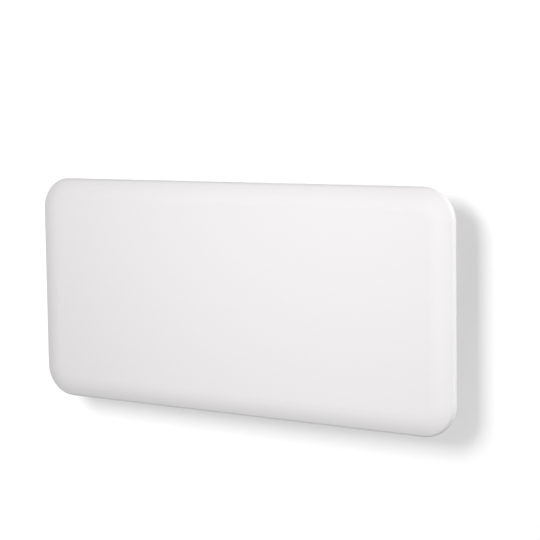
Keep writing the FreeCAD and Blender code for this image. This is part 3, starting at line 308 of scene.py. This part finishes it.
NODE_FINISHES: dict[str, Finish] = {
    "front_panel": SHELL_WHITE, "rear_casing": CASING_WHITE,
    "outlet_grille": GRILLE_GREY, "inlet_grille": GRILLE_GREY,
    "front_rails": ZINC, "wall_bracket": ZINC, "hangers": ZINC, "element_brackets": ZINC,
    "casing_screws": PLATED_STEEL, "housing_screws": PLATED_STEEL, "board_screws": PLATED_STEEL,
    "pivot_rods": PLATED_STEEL, "element_rod": PLATED_STEEL, "element_terminals": PLATED_STEEL,
    "latch_springs": SPRING_STEEL, "latch_rivets": MILL_ALUMINIUM,
    "element_fins": MILL_ALUMINIUM, "heat_shield": MILL_ALUMINIUM,
    "element_bushes": STEATITE, "thermal_cutout": PHENOLIC, "lead_wires": SILICONE,
    "control_housing": ABS_WHITE, "room_sensor": ABS_WHITE, "control_fascia": ABS_BLACK,
    "display_window": SMOKED_ACRYLIC, "display_module": PHENOLIC, "control_board": SOLDER_MASK,
    "wireless_module": TINNED_STEEL, "power_relay": POLYESTER_BLUE, "tact_switches": NYLON_BLACK,
    "power_button": ABS_GREY, "plus_button": ABS_GREY,
    "minus_button": ABS_GREY, "mode_button": ABS_GREY,
    "switch_body": NYLON_BLACK, "switch_rocker": ABS_BLACK, "terminal_block": NYLON_NATURAL,
    "cord_gland": NYLON_BLACK, "gland_nut": NYLON_BLACK, "bracket_buffers": RUBBER,
}


def start_piece() -> None:
    """Leave edit mode and deselect everything, so that an operator acts on the new piece alone."""
    if bpy.context.mode != "OBJECT":
        bpy.ops.object.mode_set(mode="OBJECT")
    bpy.ops.object.select_all(action="DESELECT")


def pick(piece: bpy.types.Object, level: str, test: Callable[[Any], bool]) -> None:
    """Open a piece in edit mode with only some of its elements selected.

    Args:
        piece: The piece to edit.
        level: VERT, EDGE or FACE.
        test: Says of a vertex, edge or face of the mesh whether it is selected.
    """
    start_piece()
    piece.select_set(True)
    bpy.context.view_layer.objects.active = piece
    mesh = piece.data
    for group in (mesh.vertices, mesh.edges, mesh.polygons):
        for element in group:
            element.select = False
    for element in {"VERT": mesh.vertices, "EDGE": mesh.edges, "FACE": mesh.polygons}[level]:
        element.select = test(element)
    bpy.ops.object.mode_set(mode="EDIT")
    bpy.ops.mesh.select_mode(type=level)


def join_pieces(pieces: list[bpy.types.Object], name: str) -> bpy.types.Object:
    """Join pieces into the first of them.

    Args:
        pieces: The objects to join.
        name: The joined object's name.

    Returns:
        The joined object.
    """
    start_piece()
    for piece in pieces:
        piece.select_set(True)
    bpy.context.view_layer.objects.active = pieces[0]
    if len(pieces) > 1:
        bpy.ops.object.join()
    pieces[0].name = name
    return pieces[0]


def apply_modifier(piece: bpy.types.Object, kind: str, **settings: Any) -> None:
    """Add one modifier to a piece and apply it.

    Args:
        piece: The piece to change.
        kind: The modifier's type.
        settings: Values of its properties.
    """
    start_piece()
    piece.select_set(True)
    bpy.context.view_layer.objects.active = piece
    modifier = piece.modifiers.new(kind.lower(), kind)
    for name, value in settings.items():
        setattr(modifier, name, value)
    bpy.ops.object.modifier_apply(modifier=modifier.name)


def copy_to(piece: bpy.types.Object, place: Matrix) -> bpy.types.Object:
    """Copy a piece with its own mesh and put the copy's place into that mesh.

    Args:
        piece: The piece to copy, at the origin.
        place: Where the copy goes.

    Returns:
        The copy.
    """
    copy = piece.copy()
    copy.data = piece.data.copy()
    bpy.context.scene.collection.objects.link(copy)
    copy.data.transform(place)
    return copy


def finish_piece(piece: bpy.types.Object, finish: Finish, body: str) -> None:
    """Smooth a modelled piece, dress it and let it ride on its body.

    Args:
        piece: The piece, with its place in its mesh.
        finish: What it is made of.
        body: The body that carries it.
    """
    start_piece()
    piece.select_set(True)
    bpy.context.view_layer.objects.active = piece
    bpy.ops.object.shade_smooth_by_angle(angle=SMOOTH_BELOW)
    piece.data.materials.clear()
    piece.data.materials.append(finish.material())
    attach(piece, body)
    LOG.info("%s modelled with %d faces", piece.name, len(piece.data.polygons))


def facing(normal: Point, up: Point, at: Point) -> Matrix:
    """Make the matrix that stands a flat piece's front on a face.

    Args:
        normal: The way that the piece's own +Z is to look.
        up: The way that its own +Y is to point.
        at: Where its origin goes.

    Returns:
        The placing matrix.
    """
    front = Vector(normal).normalized()
    right = Vector(up).cross(front).normalized()
    axes = Matrix((right, front.cross(right), front)).transposed().to_4x4()
    return Matrix.Translation(at) @ axes


@dataclass
class PackedPieces:
    """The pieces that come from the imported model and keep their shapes."""

    finishes: dict[str, Finish]

    def dress(self) -> None:
        """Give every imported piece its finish."""
        for name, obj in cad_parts.items():
            obj.data.materials.clear()
            obj.data.materials.append(self.finishes[name].material())
            LOG.info("%s wears %s", name, self.finishes[name].name)


@dataclass
class CrossHeadScrews:
    """Pan-head screws with a cross recess, in place of the plain turned ones.

    Attributes:
        name: The name of the joined screws.
        node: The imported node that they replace.
        head_radius: Radius of the head.
        head_height: Height of the head.
        shank_radius: Radius of the shank, and the length of its point.
        shank_length: Length of the shank, point included.
        places: Where each screw goes.
        sides: Sides of the head's circle.
        dome_share: Rounded share of the head's height.
        dome_steps: Segments of that rounding.
        dome_profile: Fullness of that rounding.
        tip_share: Width of the point's end, as a share of the shank.
        core_share: Width of the recess's core, as a share of the head's radius.
        arm_share: Length of each arm beyond the core, as a share of the head's radius.
        recess_share: Depth of the recess, as a share of the head's height.
        foot_share: How much the recess narrows to its foot.
    """

    name: str
    node: str
    head_radius: float
    head_height: float
    shank_radius: float
    shank_length: float
    places: list[Matrix]
    sides: int = 32
    dome_share: float = 0.55
    dome_steps: int = 4
    dome_profile: float = 0.55
    tip_share: float = 0.12
    core_share: float = 0.24
    arm_share: float = 0.42
    recess_share: float = 0.62
    foot_share: float = 0.6

    def build(self) -> None:
        """Model one screw, copy it to every place and join the copies."""
        screw = self.screw()
        cutter = self.recess()
        apply_modifier(screw, "BOOLEAN", operation="DIFFERENCE", object=cutter, solver="EXACT")
        bpy.data.objects.remove(cutter)
        copies = [copy_to(screw, place) for place in self.places]
        bpy.data.objects.remove(screw)
        piece = join_pieces(copies, self.name)
        finish_piece(piece, PLATED_STEEL, "heater")
        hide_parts(self.node)

    def screw(self) -> bpy.types.Object:
        """Turn a disc into a domed head and draw the shank out of its underside.

        Returns:
            The screw, its head's seat at the origin and its head towards +Z.
        """
        start_piece()
        bpy.ops.mesh.primitive_cylinder_add(
            vertices=self.sides, radius=self.head_radius, depth=self.head_height,
            location=(0, 0, self.head_height / 2))
        screw = bpy.context.active_object
        bpy.ops.object.transform_apply(location=True)
        pick(screw, "FACE", lambda face: face.normal.z > LOOKS_THAT_WAY)
        bpy.ops.mesh.bevel(offset=self.head_height * self.dome_share, segments=self.dome_steps,
                           profile=self.dome_profile, affect="EDGES")
        pick(screw, "FACE", lambda face: face.normal.z < -LOOKS_THAT_WAY)
        bpy.ops.mesh.inset(thickness=self.head_radius - self.shank_radius)
        point = self.shank_radius
        bpy.ops.mesh.extrude_region_move(
            TRANSFORM_OT_translate={"value": (0, 0, point - self.shank_length)})
        bpy.ops.mesh.extrude_region_move(TRANSFORM_OT_translate={"value": (0, 0, -point)})
        bpy.ops.transform.resize(value=(self.tip_share, self.tip_share, 1.0),
                                 center_override=(0, 0, -self.shank_length))
        bpy.ops.object.mode_set(mode="OBJECT")
        return screw

    def recess(self) -> bpy.types.Object:
        """Draw a cross out of a small cube and narrow its foot.

        Returns:
            The cutter, standing in the head.
        """
        core, reach = self.head_radius * self.core_share, self.head_radius * self.arm_share
        depth = self.head_height * self.recess_share
        start_piece()
        bpy.ops.mesh.primitive_cube_add(size=1.0, location=(0, 0, self.head_height + core / 2))
        cutter = bpy.context.active_object
        cutter.scale = (core, core, 2 * depth + core)
        bpy.ops.object.transform_apply(location=True, scale=True)
        for turn in range(4):
            way = Vector((math.cos(turn * QUARTER_TURN), math.sin(turn * QUARTER_TURN), 0))
            pick(cutter, "FACE", lambda face: face.normal.dot(way) > LOOKS_THAT_WAY
                 and face.center.xy.length < core)
            bpy.ops.mesh.extrude_region_move(TRANSFORM_OT_translate={"value": tuple(way * reach)})
        pick(cutter, "VERT", lambda vertex: vertex.co.z < self.head_height)
        bpy.ops.transform.resize(value=(self.foot_share, self.foot_share, 1.0),
                                 center_override=(0, 0, self.head_height - depth))
        bpy.ops.object.mode_set(mode="OBJECT")
        return cutter


class Sign(Enum):
    """The generic signs on the controls."""

    POWER = "power"
    PLUS = "plus"
    MINUS = "minus"
    MODE = "mode"
    ON = "on"
    OFF = "off"


@dataclass
class PrintedSign:
    """One pad-printed sign, drawn flat and then stood on the face that carries it.

    Attributes:
        sign: Which sign it is.
        body: The body that carries it.
        slot: The record's material slot; not used.
        finish: Its ink.
        place: Where it stands.
        reach: From its middle to its border.
        line: Width of its lines.
        film: Thickness of its ink.
        opening: Half the power ring's opening, as an angle in radians.
        stroke_middle: Height of the power stroke's middle, as a share of the reach.
        stroke_half: Half the power stroke's length, as a share of the reach.
        end_share: Rounding of a bar's ends, as a share of the line.
        end_steps: Segments of that rounding.
        ring_sides: Sides of a ring.
        dot_sides: Sides of a dot.
        dot_share: Radius of a dot, as a share of the line.
        dot_pitch: From one dot to the next, in lines.
        dot_inset: Width of a dot's outer ring of faces, as a share of its radius.
    """

    sign: Sign
    body: str
    slot: str
    finish: Finish
    place: Matrix
    reach: float = 1.7 * MM
    line: float = 0.5 * MM
    film: float = 0.12 * MM
    opening: float = 0.7
    stroke_middle: float = 0.62
    stroke_half: float = 0.42
    end_share: float = 0.45
    end_steps: int = 4
    ring_sides: int = 48
    dot_sides: int = 24
    dot_share: float = 0.72
    dot_pitch: float = 2.73
    dot_inset: float = 0.4

    def build(self) -> None:
        """Draw the sign, give the ink its thickness and place it."""
        drawings: dict[Sign, Callable[[], list[bpy.types.Object]]] = {
            Sign.POWER: lambda: [self.ring(self.opening), self.bar(
                self.reach * self.stroke_middle, self.reach * self.stroke_half)],
            Sign.PLUS: lambda: [self.cross()],
            Sign.MINUS: lambda: [self.bar(0, self.reach, level=True)],
            Sign.MODE: lambda: [self.dot(-1), self.dot(0), self.dot(1)],
            Sign.ON: lambda: [self.bar(0, self.reach)],
            Sign.OFF: lambda: [self.ring(0.0)],
        }
        piece = join_pieces(drawings[self.sign](), f"{self.sign.value}_sign")
        apply_modifier(piece, "SOLIDIFY", thickness=self.film, offset=0.5)
        piece.data.transform(self.place)
        finish_piece(piece, self.finish, self.body)

    def ring(self, gap: float) -> bpy.types.Object:
        """Draw a ring, open at its top where it has a gap.

        Args:
            gap: Half the opening as an angle in radians.

        Returns:
            The flat ring.
        """
        start_piece()
        bpy.ops.mesh.primitive_circle_add(vertices=self.ring_sides, radius=self.reach)
        ring = bpy.context.active_object
        if gap:
            pick(ring, "VERT", lambda vertex: abs(math.atan2(vertex.co.x, vertex.co.y)) < gap)
            bpy.ops.mesh.delete(type="VERT")
        pick(ring, "EDGE", lambda edge: True)
        bpy.ops.mesh.extrude_edges_move()
        inner = 1 - self.line / self.reach
        bpy.ops.transform.resize(value=(inner, inner, 1.0), center_override=(0, 0, 0))
        bpy.ops.mesh.select_all(action="SELECT")
        bpy.ops.mesh.normals_make_consistent(inside=False)
        bpy.ops.object.mode_set(mode="OBJECT")
        return ring

    def bar(self, middle: float, half: float, level: bool = False) -> bpy.types.Object:
        """Draw a bar with rounded ends.

        Args:
            middle: The height of its middle.
            half: Half its length.
            level: Whether it lies across instead of upright.

        Returns:
            The flat bar.
        """
        start_piece()
        bpy.ops.mesh.primitive_plane_add(size=1.0)
        bar = bpy.context.active_object
        bar.scale = (2 * half, self.line, 1.0) if level else (self.line, 2 * half, 1.0)
        bar.location = (0, middle, 0)
        bpy.ops.object.transform_apply(location=True, scale=True)
        pick(bar, "VERT", lambda vertex: True)
        bpy.ops.mesh.bevel(offset=self.line * self.end_share, segments=self.end_steps,
                           affect="VERTICES")
        bpy.ops.object.mode_set(mode="OBJECT")
        return bar

    def cross(self) -> bpy.types.Object:
        """Draw an even cross by drawing four arms out of a square.

        Returns:
            The flat cross.
        """
        start_piece()
        bpy.ops.mesh.primitive_plane_add(size=self.line)
        cross = bpy.context.active_object
        half = self.line / 2
        slack = half / 100
        for turn in range(4):
            angle = turn * QUARTER_TURN
            way = Vector((round(math.cos(angle)), round(math.sin(angle)), 0))
            ends = cross.data.vertices
            pick(cross, "EDGE", lambda edge: all(
                abs(ends[end].co.dot(way) - half) < slack
                and ends[end].co.length < self.line for end in edge.vertices))
            bpy.ops.mesh.extrude_edges_move(
                TRANSFORM_OT_translate={"value": tuple(way * (self.reach - half))})
        bpy.ops.object.mode_set(mode="OBJECT")
        return cross

    def dot(self, step: int) -> bpy.types.Object:
        """Draw one dot of a row.

        Args:
            step: Its place in the row, counted from the middle.

        Returns:
            The flat dot.
        """
        start_piece()
        size = self.line * self.dot_share
        bpy.ops.mesh.primitive_circle_add(vertices=self.dot_sides, radius=size, fill_type="NGON",
                                          location=(step * self.line * self.dot_pitch, 0, 0))
        dot = bpy.context.active_object
        bpy.ops.object.transform_apply(location=True)
        pick(dot, "FACE", lambda face: True)
        bpy.ops.mesh.inset(thickness=size * self.dot_inset)
        bpy.ops.object.mode_set(mode="OBJECT")
        return dot


@dataclass
class DisplayDigits:
    """The unlit bars of a two-digit display, under the smoked window.

    Attributes:
        face_x: The display's face.
        middle_y: The middle of the two digits, from wall to room.
        middle_z: The middle of the two digits, up.
        digit_width: Width of one digit, between its uprights.
        digit_height: Height of one digit, between its outer bars.
        pitch: From one digit to the next.
        bar_width: Width of a bar.
        rise: How far a bar stands out.
        end_gap: How much a bar is shortened, as a share of its width.
        point: How far its corners are cut, as a share of its width.
    """

    face_x: float = 403.0 * MM
    middle_y: float = -47.0 * MM
    middle_z: float = 125.0 * MM
    digit_width: float = 3.6 * MM
    digit_height: float = 7.6 * MM
    pitch: float = 5.6 * MM
    bar_width: float = 0.7 * MM
    rise: float = 0.12 * MM
    end_gap: float = 0.25
    point: float = 0.42

    def build(self) -> None:
        """Model one bar and copy it to the seven places of both digits."""
        bar = self.bar()
        half, quarter = self.digit_width / 2, self.digit_height / 4
        upright = Matrix.Rotation(QUARTER_TURN, 4, "Z")
        places = []
        for side in (-1, 1):
            middle = side * self.pitch / 2
            for level in (-1, 0, 1):
                places.append(Matrix.Translation((middle, level * 2 * quarter, 0)))
            for across in (-1, 1):
                for level in (-1, 1):
                    spot = Matrix.Translation((middle + across * half, level * quarter, 0))
                    places.append(spot @ upright)
        front = facing((1, 0, 0), (0, 0, 1), (self.face_x, self.middle_y, self.middle_z))
        copies = [copy_to(bar, front @ place) for place in places]
        bpy.data.objects.remove(bar)
        piece = join_pieces(copies, "display_digits")
        finish_piece(piece, DIGIT_RESIN, "heater")

    def bar(self) -> bpy.types.Object:
        """Draw one pointed bar.

        Returns:
            The bar, lying along X at the origin.
        """
        start_piece()
        bpy.ops.mesh.primitive_plane_add(size=1.0)
        bar = bpy.context.active_object
        bar.scale = (self.digit_width - self.end_gap * self.bar_width, self.bar_width, 1.0)
        bpy.ops.object.transform_apply(scale=True)
        pick(bar, "VERT", lambda vertex: True)
        bpy.ops.mesh.bevel(offset=self.bar_width * self.point, segments=1, affect="VERTICES")
        bpy.ops.object.mode_set(mode="OBJECT")
        apply_modifier(bar, "SOLIDIFY", thickness=self.rise, offset=0.5)
        return bar


@dataclass
class Controls:
    """The signs on the four buttons and on the rocker, and the display's digits.

    Attributes:
        face_x: The buttons' faces.
        line_y: The line that the buttons stand on.
        button_z: Heights of the four buttons.
        upper_facet: Middle of the rocker's upper facet.
        lower_facet: Middle of the rocker's lower facet.
        upper_normal: The way that the upper facet looks.
        lower_normal: The way that the lower facet looks.
        rocker_reach: Half the height of the rocker's signs.
    """

    face_x: float = 409.2 * MM
    line_y: float = -47.0 * MM
    button_z: tuple[float, float, float, float] = (109 * MM, 91 * MM, 73 * MM, 55 * MM)
    upper_facet: Point = (409.79 * MM, -47.0 * MM, 41.42 * MM)
    lower_facet: Point = (411.19 * MM, -47.0 * MM, 33.46 * MM)
    upper_normal: Point = (1.0, 0.0, -0.014)
    lower_normal: Point = (0.935, 0.0, 0.355)
    rocker_reach: float = 1.5 * MM

    def build(self) -> None:
        """Make every sign, then the digits."""
        for sign, height in zip((Sign.POWER, Sign.PLUS, Sign.MINUS, Sign.MODE), self.button_z):
            place = facing((1, 0, 0), (0, 0, 1), (self.face_x, self.line_y, height))
            PrintedSign(sign, f"{sign.value}_button_body", "button_grey", INK_DARK, place).build()
        for sign, middle, normal in ((Sign.OFF, self.upper_facet, self.upper_normal),
                                     (Sign.ON, self.lower_facet, self.lower_normal)):
            place = facing(normal, (0, 0, 1), middle)
            PrintedSign(sign, "switch_rocker_body", "switch_black", INK_PALE, place,
                        reach=self.rocker_reach).build()
        DisplayDigits().build()


@dataclass
class Fasteners:
    """The screws that show: along the casing's top and bottom, and at the control housing's ends.

    Attributes:
        casing_x: Places of the casing's screws, along it.
        casing_y: Their line, from wall to room.
        casing_seat: The rails' seats for them, above and below the middle.
        housing_x: The housing's seat for its screws.
        housing_y: Their line, from wall to room.
        housing_z: Their heights.
    """

    casing_x: tuple[float, ...] = (-300 * MM, -100 * MM, 100 * MM, 300 * MM)
    casing_y: float = -77.7 * MM
    casing_seat: float = 166.2 * MM
    housing_x: float = 386.0 * MM
    housing_y: float = -47.0 * MM
    housing_z: tuple[float, float] = (13 * MM, 145 * MM)

    def build(self) -> None:
        """Make both rows of screws."""
        rows = [facing((0, 0, side), (0, 1, 0), (x, self.casing_y, side * self.casing_seat))
                for side in (1, -1) for x in self.casing_x]
        CrossHeadScrews("casing_screw_row", "casing_screws",
                        head_radius=3.8 * MM, head_height=2.4 * MM,
                        shank_radius=1.9 * MM, shank_length=9 * MM, places=rows).build()
        ends = [facing((1, 0, 0), (0, 0, 1), (self.housing_x, self.housing_y, z))
                for z in self.housing_z]
        CrossHeadScrews("housing_screw_pair", "housing_screws",
                        head_radius=2.2 * MM, head_height=1.4 * MM,
                        shank_radius=1.1 * MM, shank_length=7 * MM, places=ends).build()


@dataclass(frozen=True)
class Lamp:
    """One soft square lamp.

    Attributes:
        name: Its name.
        place: Where it hangs.
        target: The point it faces.
        size: Its side.
        power: Its strength in watts.
        direct: Whether its light ends at the first face it meets.
    """

    name: str
    place: Point
    target: Point
    size: float
    power: float
    direct: bool = False

    def hang(self, lights: bpy.types.Collection) -> None:
        """Make the lamp.

        Args:
            lights: The collection that says what it lights.
        """
        data = bpy.data.lights.new(self.name, "AREA")
        data.size = self.size
        data.energy = self.power
        if self.direct:
            data.cycles.max_bounces = 0
        lamp = bpy.data.objects.new(self.name, data)
        bpy.context.scene.collection.objects.link(lamp)
        aim = (Vector(self.target) - Vector(self.place)).to_track_quat("-Z", "Y")
        lamp.matrix_world = Matrix.Translation(self.place) @ aim.to_matrix().to_4x4()
        lamp.light_linking.receiver_collection = lights
        LOG.info("%s hung", self.name)


# Casts the heater's shadow on the wall, to the lower right
WALL_LAMP = Lamp("wall_lamp", (-0.6, -3.0, 1.45), (0.0, 0.0, 0.0), 1.4, 56.3)
# Lights the face, most towards its upper right
KEY_LAMP = Lamp("key_lamp", (0.18, -1.6, 0.38), (0.1, -0.06, 0.03), 1.0, 18.8)
# Lights the right end and the controls
SIDE_LAMP = Lamp("side_lamp", (3.6, -2.0, 0.5), (0.05, -0.06, 0.0), 1.6, 9.0)
# The shell's right edge, its rim and the back: their light would brighten the shadow on the wall
# if it went on from the heater
EDGE_LAMP = Lamp("edge_lamp", (3.4, -0.25, 0.4), (0.1, -0.06, 0.0), 1.0, 25.0, direct=True)
RIM_LAMP = Lamp("rim_lamp", (2.1, 1.3, 1.2), (0.3, -0.06, 0.0), 0.8, 36.0, direct=True)
BACK_LAMP = Lamp("back_lamp", (-1.0, 2.6, 0.9), (0.0, 0.0, 0.0), 1.4, 34.0, direct=True)


@dataclass
class Stage:
    """The pale wall, the lamps and the surrounding light.

    Attributes:
        wall_width: Width of the wall.
        wall_height: Height of the wall.
        wall_gap: How far the wall is behind the bracket's back.
        fill: The wall's own glow, which keeps the shadow pale.
        far: The glow that the wall fades to.
        ambient: Strength of the even light on the heater.
        fade_from: Where the fade starts, as a share of the way to the wall's border.
        fade_to: Where the fade ends, as a share of the way to the wall's border.
    """

    wall_width: float = 3.2
    wall_height: float = 2.4
    wall_gap: float = 0.0006
    fill: float = 0.393
    far: float = 1.1
    ambient: float = 0.28
    fade_from: float = 0.315
    fade_to: float = 0.525

    def build(self) -> None:
        """Set up the whole stage."""
        scene = bpy.context.scene
        scene.view_settings.view_transform = "Standard"
        wall = self.wall()
        self.world(scene)
        only_wall = bpy.data.collections.new("lit_wall")
        only_wall.objects.link(wall)
        not_wall = bpy.data.collections.new("lit_heater")
        not_wall.objects.link(wall)
        not_wall.collection_objects[0].light_linking.link_state = "EXCLUDE"
        only_shell = bpy.data.collections.new("lit_shell")
        only_shell.objects.link(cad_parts["front_panel"])
        for lamp, lights in ((WALL_LAMP, only_wall), (KEY_LAMP, not_wall), (SIDE_LAMP, not_wall),
                             (EDGE_LAMP, only_shell), (RIM_LAMP, only_shell), (BACK_LAMP, not_wall)):
            lamp.hang(lights)

    def wall(self) -> bpy.types.Object:
        """Make the wall, which shows only from its front and keeps the heater's shadow.

        Returns:
            The wall's object, named stage_wall.
        """
        start_piece()
        bpy.ops.mesh.primitive_plane_add(size=1.0, location=(0, self.wall_gap, 0),
                                         rotation=(QUARTER_TURN, 0, 0))
        wall = bpy.context.active_object
        wall.name = "stage_wall"
        wall.scale = (self.wall_width, self.wall_height, 1.0)
        bpy.ops.object.transform_apply(location=True, rotation=True, scale=True)
        wall.data.materials.append(self.paint())
        wall.visible_diffuse = False
        wall.visible_shadow = False
        return wall

    def paint(self) -> bpy.types.Material:
        """Make the wall's matt white paint, which glows a little so that the shadow stays pale.

        Returns:
            The paint, clear from behind and plain white towards the wall's border.
        """
        material = bpy.data.materials.new("stage_paint")
        material.use_nodes = True
        tree = material.node_tree
        tree.nodes.clear()
        matt = add_node(tree, "BsdfDiffuse", None, {"Color": linear(WHITE)})
        glow = add_node(tree, "Emission", None, {"Color": linear(WHITE), "Strength": self.fill})
        both = add_node(tree, "AddShader", None, {0: matt.outputs[0], 1: glow.outputs[0]})
        white = add_node(tree, "Emission", None, {"Color": linear(WHITE), "Strength": self.far})
        front = add_node(tree, "MixShader", None,
                         {0: self.border(tree), 1: both.outputs[0], 2: white.outputs[0]})
        clear = add_node(tree, "BsdfTransparent")
        rear = add_node(tree, "NewGeometry").outputs["Backfacing"]
        shown = add_node(tree, "MixShader", None, {0: rear, 1: front.outputs[0], 2: clear.outputs[0]})
        add_node(tree, "OutputMaterial", None, {"Surface": shown.outputs[0]})
        return material

    def border(self, tree: bpy.types.NodeTree) -> Socket:
        """Add the wall's soft fade into the white around it.

        Args:
            tree: The wall material's node tree.

        Returns:
            A socket that is 0 over the wall and rises to 1 at its border.
        """
        parts = add_node(tree, "SeparateXYZ", None, {0: add_node(tree, "TexCoord").outputs["Object"]})
        shares = []
        for axis, half in (("X", self.wall_width / 2), ("Z", self.wall_height / 2)):
            size = add_node(tree, "Math", {"operation": "ABSOLUTE"}, {0: parts.outputs[axis]})
            share = add_node(tree, "Math", {"operation": "DIVIDE"}, {0: size.outputs[0], 1: half})
            shares.append(share.outputs[0])
        nearest = add_node(tree, "Math", {"operation": "MAXIMUM"}, {0: shares[0], 1: shares[1]})
        fade = add_node(tree, "MapRange", {"interpolation_type": "SMOOTHSTEP"}, {
            "Value": nearest.outputs[0], "From Min": self.fade_from, "From Max": self.fade_to})
        return fade.outputs["Result"]

    def world(self, scene: bpy.types.Scene) -> None:
        """Make the even light all round, which the camera and shiny faces see as white.

        Args:
            scene: The scene that the world belongs to.
        """
        world = bpy.data.worlds.new("even_light")
        scene.world = world
        world.use_nodes = True
        tree = world.node_tree
        tree.nodes.clear()
        path = add_node(tree, "LightPath")
        seen = add_node(tree, "Math", {"operation": "MAXIMUM"},
                        {0: path.outputs["Is Camera Ray"], 1: path.outputs["Is Glossy Ray"]})
        shown = add_node(tree, "Math", {"operation": "MAXIMUM"},
                         {0: seen.outputs[0], 1: path.outputs["Is Transmission Ray"]})
        level = add_node(tree, "MapRange", None,
                         {"Value": shown.outputs[0], "To Min": self.ambient, "To Max": 1.0})
        light = add_node(tree, "Background", None,
                         {"Color": linear(WHITE), "Strength": level.outputs[0]})
        add_node(tree, "OutputWorld", None, {"Surface": light.outputs[0]})


@dataclass
class PhotoCamera:
    """The camera at the photograph's viewpoint, found from the panel's edges in the picture.

    Attributes:
        azimuth: Degrees from straight in front towards the right.
        elevation: Degrees above level.
        roll: Degrees that the camera leans.
        distance: From the target to the camera.
        focal_px: Focal length in the picture's pixels.
        target: The point that the camera looks at.
        rise_px: How far the lens is shifted, in the picture's pixels.
        picture_px: Side of the square picture.
        sensor_mm: Width of the sensor.
    """

    azimuth: float = 31.158
    elevation: float = 4.565
    roll: float = -0.807
    distance: float = 2.5792
    focal_px: float = 1479.8
    target: Point = (0.0875, -0.0864, 0.1657)
    rise_px: float = 61.0
    picture_px: float = 540.0
    sensor_mm: float = 36.0

    def build(self) -> None:
        """Make the camera and use it."""
        data = bpy.data.cameras.new("photo_camera")
        data.sensor_width = self.sensor_mm
        data.lens = self.focal_px / self.picture_px * self.sensor_mm
        data.shift_y = -self.rise_px / self.picture_px
        camera = bpy.data.objects.new("photo_camera", data)
        bpy.context.scene.collection.objects.link(camera)
        turn, lift, tilt = (math.radians(angle) for angle in (self.azimuth, self.elevation, self.roll))
        back = Vector((math.sin(turn) * math.cos(lift), -math.cos(turn) * math.cos(lift),
                       math.sin(lift)))
        level = Vector((math.cos(turn), math.sin(turn), 0.0))
        upright = back.cross(level)
        right = math.cos(tilt) * level + math.sin(tilt) * upright
        above = -math.sin(tilt) * level + math.cos(tilt) * upright
        axes = Matrix((right, above, back)).transposed().to_4x4()
        camera.matrix_world = Matrix.Translation(Vector(self.target) + back * self.distance) @ axes
        bpy.context.scene.camera = camera


def main() -> None:
    """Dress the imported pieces, model the small ones, then set the stage and the camera."""
    logging.basicConfig(level=logging.INFO, format="%(name)s: %(message)s")
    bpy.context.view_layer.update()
    PackedPieces(NODE_FINISHES).dress()
    Fasteners().build()
    Controls().build()
    Stage().build()
    PhotoCamera().build()


if __name__ == "__main__":
    main()
